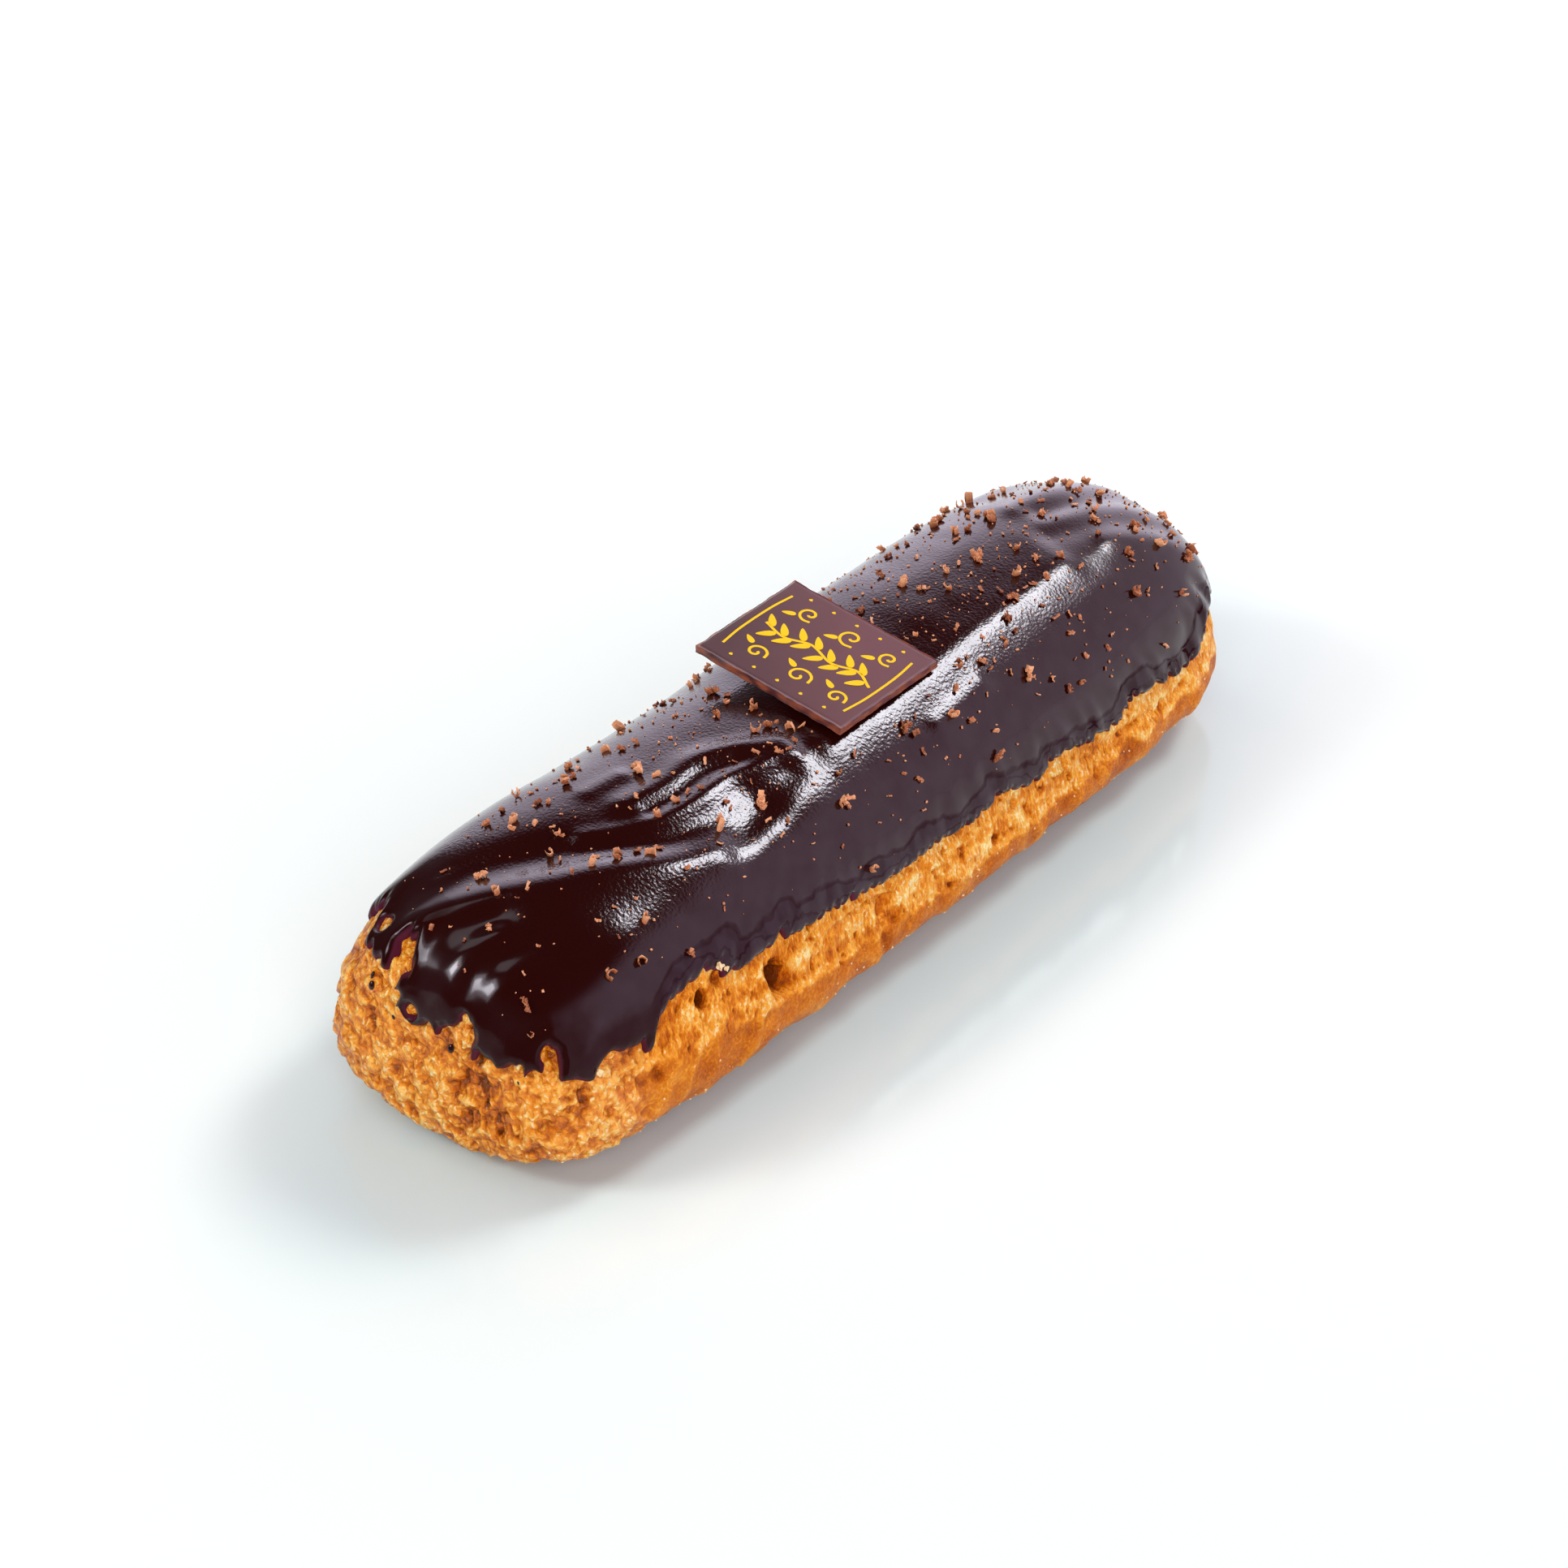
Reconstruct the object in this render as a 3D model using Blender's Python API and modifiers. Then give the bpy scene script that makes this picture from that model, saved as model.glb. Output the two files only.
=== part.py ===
"""A chocolate eclair at its real size.

Three solids: the choux shell, the chocolate glaze with its crumbs, and the chocolate plaque.
Units are metres, +Z is up, X runs along the eclair and its flat base lies on z = 0.
The near end, which the glaze runs over in lobes, is at -X.
"""

import math
import random

import bmesh
import bpy
from mathutils import Matrix, Vector, noise

MM = 0.001

# Choux body. Widths and rises are given at the near end, the middle and the far end.
HALF_LENGTH = 72.5 * MM
SIDE_HEIGHT = 7.5 * MM
RIGHT_WIDTHS = (23.5 * MM, 22.5 * MM, 21 * MM)
LEFT_WIDTHS = (24 * MM, 22 * MM, 21.5 * MM)
CROWN_RISES = (24.5 * MM, 25 * MM, 26.5 * MM)
UNDERSIDE_DROP = 8.8 * MM

# How square the rounded outlines are: 2 is an ellipse, larger is fuller in the corners.
PLAN_SQUARENESS = 5.9
PROFILE_SQUARENESS = 5.0
UNDERSIDE_SQUARENESS = 5.7
SECTION_SQUARENESS = 2.6

# Glaze
GLAZE_THICKNESS = 1.1 * MM
NODE_GAP = 0.3 * MM

# Lower edge of the glaze: points (x, y, height) round the eclair in mm, from the middle of the
# near end along the right side and back along the left one.
GLAZE_EDGE = (
    (-72.4, 0.0, 16.8),
    (-71.5, -4.0, 21.2),
    (-72.4, -6.6, 16.0),
    (-71.9, -11.4, 16.9),
    (-68.9, -17.7, 16.3),
    (-65.9, -19.8, 15.3),
    (-61.8, -20.5, 17.4),
    (-56.8, -21.8, 15.2),
    (-52.9, -21.9, 19.6),
    (-46.0, -21.9, 20.6),
    (-42.8, -21.9, 18.4),
    (-32.4, -21.9, 19.4),
    (-22.2, -21.9, 17.4),
    (-8.0, -21.9, 16.3),
    (8.4, -21.9, 15.7),
    (24.3, -21.7, 15.6),
    (38.4, -21.4, 13.9),
    (44.2, -21.1, 15.7),
    (54.4, -20.1, 13.8),
    (62.8, -18.2, 16.0),
    (69.0, -14.0, 18.6),
    (72.0, -7.0, 16.2),
    (72.4, 1.0, 18.9),
    (72.0, 8.0, 16.0),
    (68.5, 15.5, 18.3),
    (58.0, 20.0, 15.2),
    (43.0, 21.0, 17.2),
    (25.0, 21.3, 15.6),
    (6.0, 21.4, 17.6),
    (-14.0, 22.0, 16.2),
    (-32.0, 22.6, 18.4),
    (-48.0, 23.0, 16.6),
    (-60.0, 21.0, 20.2),
    (-65.0, 15.9, 23.6),
    (-68.9, 13.9, 22.1),
    (-70.9, 8.6, 21.6),
    (-71.8, 6.6, 20.2),
    (-72.2, 4.5, 17.4),
)

# Broad folds of the crown: points (x, y) of a fold's line, its reach and its height, all in mm.
# A groove has a minus height. The folds fade out towards the sides, between two shares of the rise.
CROWN_RELIEF = (
    (((-66, 5.5), (-56, -2.5), (-46, -9), (-34, -13)), 3, 0.5),
    (((-64, 11), (-50, 0.5), (-38, -9), (-25, -11)), 3.5, -0.9),
    (((-30, 15), (-20, 16), (-10, 15)), 7, -0.8),
    (((-20, -12), (10, -10.5), (42, -9)), 3, 0.4),
    (((22, 2), (40, 3), (55, 0)), 10, 0.6),
)
FOLD_FADE_START = 0.45
FOLD_FADE_END = 0.85
CROWN_RIPPLE = 0.15 * MM
CROWN_RIPPLE_SIZE = 14 * MM

# Crags of the browned choux side, deeper on the near end
SIDE_RELIEF = 0.5 * MM
END_RELIEF = 1.2 * MM
END_RELIEF_START = -60 * MM
END_RELIEF_FADE = 12 * MM
CRAG_SIZE = 4.5 * MM

# Mesh density. The columns share out the outline in proportion to the two spacings.
COLUMNS = 88
END_SPACING = 2.3 * MM
SIDE_SPACING = 4.4 * MM
END_SPACING_START = 0.75
END_SPACING_FULL = 0.92
GLAZE_ROWS = 12
GLAZE_ROW_POWER = 1.6
SIDE_ROWS = 7
SWELL_ROWS = 3.85
BASE_ROWS = 2
SPOKE_SAMPLES = 260

# Crumbs scattered over the glaze
CRUMB_COUNT = 72
CRUMB_LONGEST = 4.2 * MM
CRUMB_SHORTEST = 2.2 * MM
CRUMB_WIDTH = 0.62
CRUMB_HEIGHT = 0.42
CRUMB_SINK = 0.3
CRUMB_SPACING = 4.2 * MM
CRUMB_REACH_ACROSS = 0.86
CRUMB_REACH_ALONG = 0.9
CRUMB_SEED = 7

# Chocolate plaque, lying on the crown and tilted down towards -Y
PLAQUE_LENGTH = 20.5 * MM
PLAQUE_WIDTH = 23.4 * MM
PLAQUE_THICKNESS = 1.1 * MM
PLAQUE_CENTRE = (1.2 * MM, -0.1 * MM)
PLAQUE_TILT = math.radians(8.5)
PLAQUE_TURN = math.radians(1.0)
PLAQUE_CORNER = 0.25 * MM
PLAQUE_CLEARANCE = 2.0 * MM


def clear_scene():
    for old_object in list(bpy.data.objects):
        bpy.data.objects.remove(old_object, do_unlink=True)


def make_collection(name, hidden=False):
    collection = bpy.data.collections.new(name)
    bpy.context.scene.collection.children.link(collection)
    collection.hide_render = hidden
    return collection


def make_material(name, colour, roughness):
    material = bpy.data.materials.new(name)
    material.use_nodes = True
    shader = material.node_tree.nodes["Principled BSDF"]
    shader.inputs["Base Color"].default_value = (*colour, 1.0)
    shader.inputs["Roughness"].default_value = roughness
    shader.inputs["Metallic"].default_value = 0.0
    material.diffuse_color = (*colour, 1.0)
    return material


def make_object(name, bm, collection, material):
    mesh = bpy.data.meshes.new(name)
    bm.to_mesh(mesh)
    bm.free()
    mesh.materials.append(material)
    new_object = bpy.data.objects.new(name, mesh)
    collection.objects.link(new_object)
    return new_object


def smooth_step(value, low, high):
    share = min(max((value - low) / (high - low), 0.0), 1.0)
    return share * share * (3.0 - 2.0 * share)


def along(values, t):
    """Smooth value at t, from -1 at the first of the even stations to 1 at the last."""
    place = (t + 1.0) / 2.0 * (len(values) - 1)
    index = min(max(int(place), 0), len(values) - 2)
    share = place - index
    before = values[max(index - 1, 0)]
    start, end = values[index], values[index + 1]
    after = values[min(index + 2, len(values) - 1)]
    start_slope = (end - before) / 2.0
    end_slope = (after - start) / 2.0
    return (
        start * (2 * share**3 - 3 * share**2 + 1)
        + start_slope * (share**3 - 2 * share**2 + share)
        + end * (3 * share**2 - 2 * share**3)
        + end_slope * (share**3 - share**2)
    )


def rounded(share, squareness):
    """Height of a rounded outline of half size 1 at a share of its half length."""
    return (1.0 - min(abs(share), 1.0) ** squareness) ** (1.0 / squareness)


def half_width(x, y):
    t = x / HALF_LENGTH
    widths = RIGHT_WIDTHS if y < 0 else LEFT_WIDTHS
    return along(widths, t) * rounded(t, PLAN_SQUARENESS)


def line_distance(x, y, points):
    """Distance in the plan from (x, y) to a line through points, all in mm."""
    nearest = math.inf
    for (ax, ay), (bx, by) in zip(points, points[1:]):
        dx, dy = bx - ax, by - ay
        share = ((x - ax) * dx + (y - ay) * dy) / (dx * dx + dy * dy)
        share = min(max(share, 0.0), 1.0)
        nearest = min(nearest, math.hypot(x - ax - share * dx, y - ay - share * dy))
    return nearest


def crown_relief(x, y):
    height = 0.0
    for points, reach, top in CROWN_RELIEF:
        distance = line_distance(x / MM, y / MM, points)
        height += top * MM * math.exp(-((distance / reach) ** 2))
    ripple = noise.noise(Vector((x, y, 0.0)) / CROWN_RIPPLE_SIZE)
    return height + CROWN_RIPPLE * ripple


def crown_height(x, y):
    """Height of the outer surface above the widest line of the body, at a place in the plan."""
    t = x / HALF_LENGTH
    width = max(half_width(x, y), 1e-6)
    across = min(abs(y) / width, 1.0)
    rise = along(CROWN_RISES, t) * rounded(t, PROFILE_SQUARENESS)
    level = rise * rounded(across, SECTION_SQUARENESS)
    fade = smooth_step(level, FOLD_FADE_START * CROWN_RISES[0], FOLD_FADE_END * CROWN_RISES[0])
    return SIDE_HEIGHT + level + fade * crown_relief(x, y)


def underside_height(x, y):
    t = x / HALF_LENGTH
    width = max(half_width(x, y), 1e-6)
    across = min(abs(y) / width, 1.0)
    drop = UNDERSIDE_DROP * rounded(t, UNDERSIDE_SQUARENESS)
    return max(SIDE_HEIGHT - drop * rounded(across, 2.0), 0.0)


def plan_angle(x, y):
    return math.atan2(y / LEFT_WIDTHS[1], x / HALF_LENGTH)


def edge_height(x, y):
    """Height of the glaze's lower edge at the place round the eclair that lies towards (x, y)."""
    turn = 2.0 * math.pi
    start = plan_angle(*GLAZE_EDGE[0][:2])
    places = [((plan_angle(px, py) - start) % turn, height) for px, py, height in GLAZE_EDGE]
    places.append((turn, GLAZE_EDGE[0][2]))
    angle = (plan_angle(x, y) - start) % turn
    for (low, low_height), (high, high_height) in zip(places, places[1:]):
        if angle <= high:
            share = smooth_step(angle, low, high)
            return (low_height + share * (high_height - low_height)) * MM
    return GLAZE_EDGE[0][2] * MM


def outline(samples=4000):
    """Widest line of the body in the plan, as a closed list of (x, y) starting at the far end."""
    points = []
    for index in range(samples):
        angle = 2.0 * math.pi * index / samples
        cosine, sine = math.cos(angle), math.sin(angle)
        x = HALF_LENGTH * math.copysign(abs(cosine) ** (2.0 / PLAN_SQUARENESS), cosine)
        y = half_width(x, sine) * (1 if sine >= 0 else -1)
        points.append((x, y))
    return points


def column_feet():
    """The (x, y) of each mesh column on the widest line, closer together round the two ends."""
    points = outline()
    total = [0.0]
    for (ax, ay), (bx, by) in zip(points, points[1:] + points[:1]):
        middle_share = abs(ax + bx) / 2.0 / HALF_LENGTH
        toward_end = smooth_step(middle_share, END_SPACING_START, END_SPACING_FULL)
        spacing = SIDE_SPACING + toward_end * (END_SPACING - SIDE_SPACING)
        total.append(total[-1] + math.hypot(bx - ax, by - ay) / spacing)
    feet = []
    index = 0
    for column in range(COLUMNS):
        target = total[-1] * column / COLUMNS
        while total[index + 1] < target:
            index += 1
        feet.append(points[index])
    return feet


def spoke(foot, surface):
    """Points along the outer surface from the widest line at a foot to the middle of the eclair."""
    x, y = foot
    points = []
    for index in range(SPOKE_SAMPLES + 1):
        share = 1.0 - (index / SPOKE_SAMPLES) ** 3
        points.append(Vector((share * x, share * y, surface(share * x, share * y))))
    return points


def spread(points, shares):
    """Points at the given shares of the length of a line."""
    lengths = [0.0]
    for start, end in zip(points, points[1:]):
        lengths.append(lengths[-1] + (end - start).length)
    placed = []
    for share in shares:
        target = share * lengths[-1]
        index = 0
        while index < len(points) - 2 and lengths[index + 1] < target:
            index += 1
        step = lengths[index + 1] - lengths[index]
        placed.append(points[index].lerp(points[index + 1], (target - lengths[index]) / max(step, 1e-9)))
    return placed


def body_column(foot):
    """One mesh column of the outer surface, from below the crown to the middle of the base."""
    upper = spoke(foot, crown_height)
    edge = edge_height(*foot)
    split = next(index for index, point in enumerate(upper) if point.z >= edge)
    glaze_shares = [(row / GLAZE_ROWS) ** GLAZE_ROW_POWER for row in range(GLAZE_ROWS)]
    glaze_rows = spread(upper[split:], glaze_shares)
    lower = spoke(foot, underside_height)
    contact = next(index for index, point in enumerate(lower) if point.z <= 0.0)
    side = list(reversed(lower[:contact + 1])) + upper[1:split + 1]
    side_rows = spread(side, [row / SIDE_ROWS for row in range(SIDE_ROWS)])
    base_rows = spread(lower[contact:], [row / BASE_ROWS for row in range(1, BASE_ROWS)])
    return list(reversed(glaze_rows)) + list(reversed(side_rows)) + base_rows


def make_outer_surface():
    """A sphere mesh moved on to the outer surface, and its vertices in rows from the crown down."""
    rows = GLAZE_ROWS + SIDE_ROWS + BASE_ROWS
    bm = bmesh.new()
    bmesh.ops.create_uvsphere(bm, u_segments=COLUMNS, v_segments=rows, radius=1.0)
    columns = [body_column(foot) for foot in column_feet()]
    vertex_rows = [[] for _ in range(rows + 1)]
    for vertex in bm.verts:
        row = round(math.acos(max(-1.0, min(1.0, vertex.co.z))) / math.pi * rows)
        column = round(math.atan2(vertex.co.y, vertex.co.x) / (2.0 * math.pi) * COLUMNS) % COLUMNS
        vertex_rows[row].append(vertex)
        if row == 0:
            vertex.co = Vector((0.0, 0.0, crown_height(0.0, 0.0)))
        elif row == rows:
            vertex.co = Vector((0.0, 0.0, 0.0))
        else:
            vertex.co = columns[column][row - 1]
    bmesh.ops.recalc_face_normals(bm, faces=bm.faces)
    bm.normal_update()
    return bm, vertex_rows


def crag(point):
    """Outward height of the browned choux at a point of its side."""
    near_end = 1.0 - smooth_step(point.x, END_RELIEF_START, END_RELIEF_START + END_RELIEF_FADE)
    depth = SIDE_RELIEF + near_end * (END_RELIEF - SIDE_RELIEF)
    return depth * noise.fractal(point / CRAG_SIZE, 0.8, 2.0, 3)


def make_choux(collection):
    """The shell keeps clear of the glaze above its edge, and swells out to the full width below it."""
    bm, rows = make_outer_surface()
    normals = {vertex: vertex.normal.copy() for vertex in bm.verts}
    for index, row in enumerate(rows):
        below_edge = (index - GLAZE_ROWS) / SWELL_ROWS
        inset = (GLAZE_THICKNESS + NODE_GAP) * (1.0 - smooth_step(below_edge, 0.0, 1.0))
        on_side = GLAZE_ROWS < index < GLAZE_ROWS + SIDE_ROWS
        for vertex in row:
            if index >= GLAZE_ROWS + SIDE_ROWS:
                continue
            relief = crag(vertex.co) if on_side else 0.0
            vertex.co += normals[vertex] * (relief - inset)
            vertex.co.z = max(vertex.co.z, 0.0)
    base = [face for face in bm.faces if all(vertex.co.z < 1e-6 for vertex in face.verts)]
    bmesh.ops.dissolve_faces(bm, faces=base)
    material = make_material("choux_pastry", (0.62, 0.30, 0.08), 0.6)
    return make_object("choux_shell", bm, collection, material)


def plaque_matrix(lift):
    """Where the plaque lies: its centre is lift above the crown, tilted and slightly turned."""
    x, y = PLAQUE_CENTRE
    place = Matrix.Translation((x, y, crown_height(x, y) + lift))
    return place @ Matrix.Rotation(PLAQUE_TURN, 4, "Z") @ Matrix.Rotation(PLAQUE_TILT, 4, "X")


def plaque_lift():
    """Smallest lift that keeps the whole underside clear of the glaze."""
    steps = 24
    lift = 0.0
    matrix = plaque_matrix(0.0)
    for column in range(steps + 1):
        for row in range(steps + 1):
            x = (column / steps - 0.5) * PLAQUE_LENGTH
            y = (row / steps - 0.5) * PLAQUE_WIDTH
            under = matrix @ Vector((x, y, -PLAQUE_THICKNESS / 2.0))
            lift = max(lift, crown_height(under.x, under.y) - under.z)
    return lift + NODE_GAP


def make_plaque(collection):
    bm = bmesh.new()
    bmesh.ops.create_cube(bm, size=1.0)
    size = Matrix.Diagonal((PLAQUE_LENGTH, PLAQUE_WIDTH, PLAQUE_THICKNESS, 1.0))
    bmesh.ops.transform(bm, matrix=size, verts=bm.verts)
    bmesh.ops.bevel(
        bm, geom=bm.edges[:], offset=PLAQUE_CORNER, segments=2, affect="EDGES", profile=0.5, material=-1
    )
    material = make_material("chocolate_plaque", (0.13, 0.045, 0.03), 0.4)
    plaque = make_object("chocolate_plaque", bm, collection, material)
    plaque.matrix_world = plaque_matrix(plaque_lift())
    return plaque


def near_plaque(x, y, margin):
    inside_length = abs(x - PLAQUE_CENTRE[0]) < PLAQUE_LENGTH / 2.0 + margin
    inside_width = abs(y - PLAQUE_CENTRE[1]) < PLAQUE_WIDTH / 2.0 + margin
    return inside_length and inside_width


def crown_normal(x, y):
    step = 0.5 * MM
    slope_x = (crown_height(x + step, y) - crown_height(x - step, y)) / (2.0 * step)
    slope_y = (crown_height(x, y + step) - crown_height(x, y - step)) / (2.0 * step)
    return Vector((-slope_x, -slope_y, 1.0)).normalized()


def crumb_places(draw):
    """Well spaced places on the crown, more of them towards the far end."""
    places = []
    while len(places) < CRUMB_COUNT:
        x = draw.uniform(-1.0, 1.0) * CRUMB_REACH_ALONG * HALF_LENGTH
        side = draw.uniform(-1.0, 1.0)
        y = side * CRUMB_REACH_ACROSS * half_width(x, side)
        wanted = smooth_step(x, -0.9 * HALF_LENGTH, 0.2 * HALF_LENGTH)
        crowded = any(math.hypot(x - px, y - py) < CRUMB_SPACING for px, py in places)
        blocked = near_plaque(x, y, PLAQUE_CLEARANCE + CRUMB_LONGEST / 2.0)
        if not crowded and not blocked and draw.random() < 0.25 + 0.75 * wanted:
            places.append((x, y))
    return places


def make_crumbs(collection, material):
    """Angular chips of chocolate, largest first, each sunk a little into the glaze."""
    draw = random.Random(CRUMB_SEED)
    for index, (x, y) in enumerate(crumb_places(draw)):
        length = CRUMB_LONGEST + (CRUMB_SHORTEST - CRUMB_LONGEST) * index / CRUMB_COUNT
        height = length * CRUMB_HEIGHT
        bm = bmesh.new()
        bmesh.ops.create_icosphere(bm, subdivisions=1, radius=0.5)
        for vertex in bm.verts:
            vertex.co *= draw.uniform(0.8, 1.15)
        up = crown_normal(x, y).to_track_quat("Z", "X").to_matrix().to_4x4()
        turn = Matrix.Rotation(draw.uniform(0.0, 2.0 * math.pi), 4, "Z")
        size = Matrix.Diagonal((length, length * CRUMB_WIDTH, height, 1.0))
        rest = Matrix.Translation((0.0, 0.0, height * (0.5 - CRUMB_SINK)))
        place = Matrix.Translation((x, y, crown_height(x, y)))
        bmesh.ops.transform(bm, matrix=place @ up @ rest @ turn @ size, verts=bm.verts)
        make_object(f"crumb_{index + 1:02d}", bm, collection, material)


def bake_modifiers(target):
    """Replace the object's mesh by the one its modifiers give."""
    bpy.context.view_layer.update()
    evaluated = target.evaluated_get(bpy.context.evaluated_depsgraph_get())
    mesh = bpy.data.meshes.new_from_object(evaluated)
    target.modifiers.clear()
    target.data = mesh


def make_glaze(collection, crumb_collection):
    """The outer surface above the glaze's edge, thickened inwards, with the crumbs fused on."""
    bm, rows = make_outer_surface()
    below = [vertex for row in rows[GLAZE_ROWS + 1:] for vertex in row]
    bmesh.ops.delete(bm, geom=below, context="VERTS")
    material = make_material("chocolate_glaze", (0.05, 0.018, 0.014), 0.25)
    glaze = make_object("chocolate_glaze", bm, collection, material)

    skin = glaze.modifiers.new("skin", "SOLIDIFY")
    skin.thickness = GLAZE_THICKNESS
    skin.offset = -1.0
    make_crumbs(crumb_collection, material)
    fuse = glaze.modifiers.new("crumbs", "BOOLEAN")
    fuse.operation = "UNION"
    fuse.operand_type = "COLLECTION"
    fuse.collection = crumb_collection
    fuse.solver = "MANIFOLD"
    bake_modifiers(glaze)
    for crumb in list(crumb_collection.objects):
        bpy.data.objects.remove(crumb, do_unlink=True)
    return glaze


def main():
    clear_scene()
    eclair = make_collection("chocolate_eclair")
    crumbs = make_collection("crumb_cutters", hidden=True)
    make_choux(eclair)
    make_glaze(eclair, crumbs)
    make_plaque(eclair)


main()
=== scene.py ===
# %% [markdown]
# # A chocolate eclair
# This lesson dresses a plain model of an eclair: a baked choux shell, a coat of chocolate glaze,
# chocolate crumbs and a thin chocolate plaque. The plain solids give the place and the size of
# everything, and each one is replaced here by a piece with the surface of the real thing.
# %% Load the plain model
import math
import random

import bmesh
import bpy
import numpy as np
from mathutils import Matrix, Vector, noise
from mathutils.bvhtree import BVHTree


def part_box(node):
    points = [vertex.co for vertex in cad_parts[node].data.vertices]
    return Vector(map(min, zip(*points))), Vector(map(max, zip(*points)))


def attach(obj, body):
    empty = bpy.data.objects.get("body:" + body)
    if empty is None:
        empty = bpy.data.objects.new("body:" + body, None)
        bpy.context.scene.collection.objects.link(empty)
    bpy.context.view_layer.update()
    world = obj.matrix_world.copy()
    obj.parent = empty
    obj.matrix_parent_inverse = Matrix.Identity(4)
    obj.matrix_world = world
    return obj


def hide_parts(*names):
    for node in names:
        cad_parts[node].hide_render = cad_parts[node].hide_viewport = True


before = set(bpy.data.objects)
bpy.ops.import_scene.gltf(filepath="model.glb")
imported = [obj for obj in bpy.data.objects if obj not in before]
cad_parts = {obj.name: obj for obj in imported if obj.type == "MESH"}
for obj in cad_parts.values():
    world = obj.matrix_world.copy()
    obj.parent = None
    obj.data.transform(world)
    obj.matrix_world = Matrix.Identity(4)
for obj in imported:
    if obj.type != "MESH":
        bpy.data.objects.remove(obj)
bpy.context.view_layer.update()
MM = 0.001

# %% [markdown]
# ## Camera
# The eclair is seen from a little above, along a diagonal. A long lens far away keeps its far
# end nearly as large as its near end, so the distance and the focal length are chosen together.
# %% Camera
VIEW_TURN = math.radians(38.5)
VIEW_DROP = math.radians(33.7)
VIEW_DISTANCE = 0.575
LOOK_AT = Vector((0.0, 0.0, 10.5 * MM))
FRAME_RIGHT = 3.38 * MM
FRAME_UP = 4.19 * MM
LENS_LENGTH = 101.9
SENSOR_WIDTH = 36.0
NEAREST_SEEN = 0.01


def direction_to(turn, rise):
    """Unit vector towards a compass turn and a height above the horizon, both in radians."""
    level = math.cos(rise)
    return Vector((level * math.cos(turn), level * math.sin(turn), math.sin(rise)))


look = direction_to(VIEW_TURN, -VIEW_DROP)
right = Vector((math.sin(VIEW_TURN), -math.cos(VIEW_TURN), 0.0))
up = right.cross(look)

camera_data = bpy.data.cameras.new("camera")
camera_data.lens = LENS_LENGTH
camera_data.sensor_width = SENSOR_WIDTH
camera_data.clip_start = NEAREST_SEEN
camera = bpy.data.objects.new("camera", camera_data)
bpy.context.scene.collection.objects.link(camera)
camera.location = LOOK_AT - look * VIEW_DISTANCE
aim = LOOK_AT - right * FRAME_RIGHT + up * FRAME_UP
camera.rotation_euler = (aim - camera.location).to_track_quat("-Z", "Y").to_euler()
bpy.context.scene.camera = camera
bpy.context.scene.view_settings.view_transform = "Standard"
print("camera at, mm:", [round(value / MM) for value in camera.location])

# %% [markdown]
# ## Tools for materials
# Materials and the studio sky are made of small nodes that pass numbers and colours on. These
# helpers add one node each and return what it gives, so a material reads like a formula.
# %% Node helpers for numbers
def feed(tree, socket, value):
    """Give a socket a number, a colour or what another node gives."""
    if isinstance(value, (int, float)):
        socket.default_value = value
    elif isinstance(value, tuple):
        needs_alpha = len(value) == 3 and len(socket.default_value) == 4
        socket.default_value = (*value, 1.0) if needs_alpha else value
    else:
        tree.links.new(value, socket)


def calculate(tree, operation, first, second=0.0):
    node = tree.nodes.new("ShaderNodeMath")
    node.operation = operation
    feed(tree, node.inputs[0], first)
    feed(tree, node.inputs[1], second)
    return node.outputs[0]


def add(tree, first, second):
    return calculate(tree, "ADD", first, second)


def subtract(tree, first, second):
    return calculate(tree, "SUBTRACT", first, second)


def multiply(tree, first, second):
    return calculate(tree, "MULTIPLY", first, second)


def fade(tree, value, start, end, low=0.0, high=1.0):
    """A soft change from low to high while the value goes from start to end."""
    node = tree.nodes.new("ShaderNodeMapRange")
    node.interpolation_type = "SMOOTHSTEP"
    for name, number in (("From Min", start), ("From Max", end), ("To Min", low), ("To Max", high)):
        node.inputs[name].default_value = number
    feed(tree, node.inputs["Value"], value)
    return node.outputs["Result"]


def texture_place(tree, size_mm, stretch=(1.0, 1.0, 1.0)):
    """Place on the eclair, counted in steps of size_mm times the stretch along each axis."""
    scaled = tree.nodes.new("ShaderNodeMapping")
    scaled.inputs["Scale"].default_value = [1.0 / (size_mm * MM * part) for part in stretch]
    place = tree.nodes.new("ShaderNodeTexCoord").outputs["Object"]
    tree.links.new(place, scaled.inputs["Vector"])
    return scaled.outputs["Vector"]


def grain(tree, size_mm, detail=2.0, stretch=(1.0, 1.0, 1.0), roughness=0.55):
    """Noise with features about size_mm across, stretched along the axes of the eclair."""
    texture = tree.nodes.new("ShaderNodeTexNoise")
    texture.inputs["Scale"].default_value = 1.0
    texture.inputs["Detail"].default_value = detail
    texture.inputs["Roughness"].default_value = roughness
    tree.links.new(texture_place(tree, size_mm, stretch), texture.inputs["Vector"])
    return texture.outputs["Fac"]


def kept(tree, name):
    """A number that was kept on the mesh, such as how pale the crust is."""
    node = tree.nodes.new("ShaderNodeAttribute")
    node.attribute_name = name
    return node.outputs["Fac"]


def axis(tree, name):
    """Place along one axis of the eclair, in mm."""
    parts = tree.nodes.new("ShaderNodeSeparateXYZ")
    tree.links.new(tree.nodes.new("ShaderNodeTexCoord").outputs["Object"], parts.inputs[0])
    return calculate(tree, "DIVIDE", parts.outputs[name], MM)


print("node helpers for numbers are ready")

# %% [markdown]
# The other helpers work on colours and on the surface. A ramp turns a number into a colour, a
# bump node turns it into small dents, and a new material starts from the Principled shader,
# which knows how chocolate, crust and paint send light back.
# %% Node helpers for colours and surfaces
MIX_SHARE, MIX_FIRST, MIX_SECOND, MIX_RESULT = 0, 6, 7, 2


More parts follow.
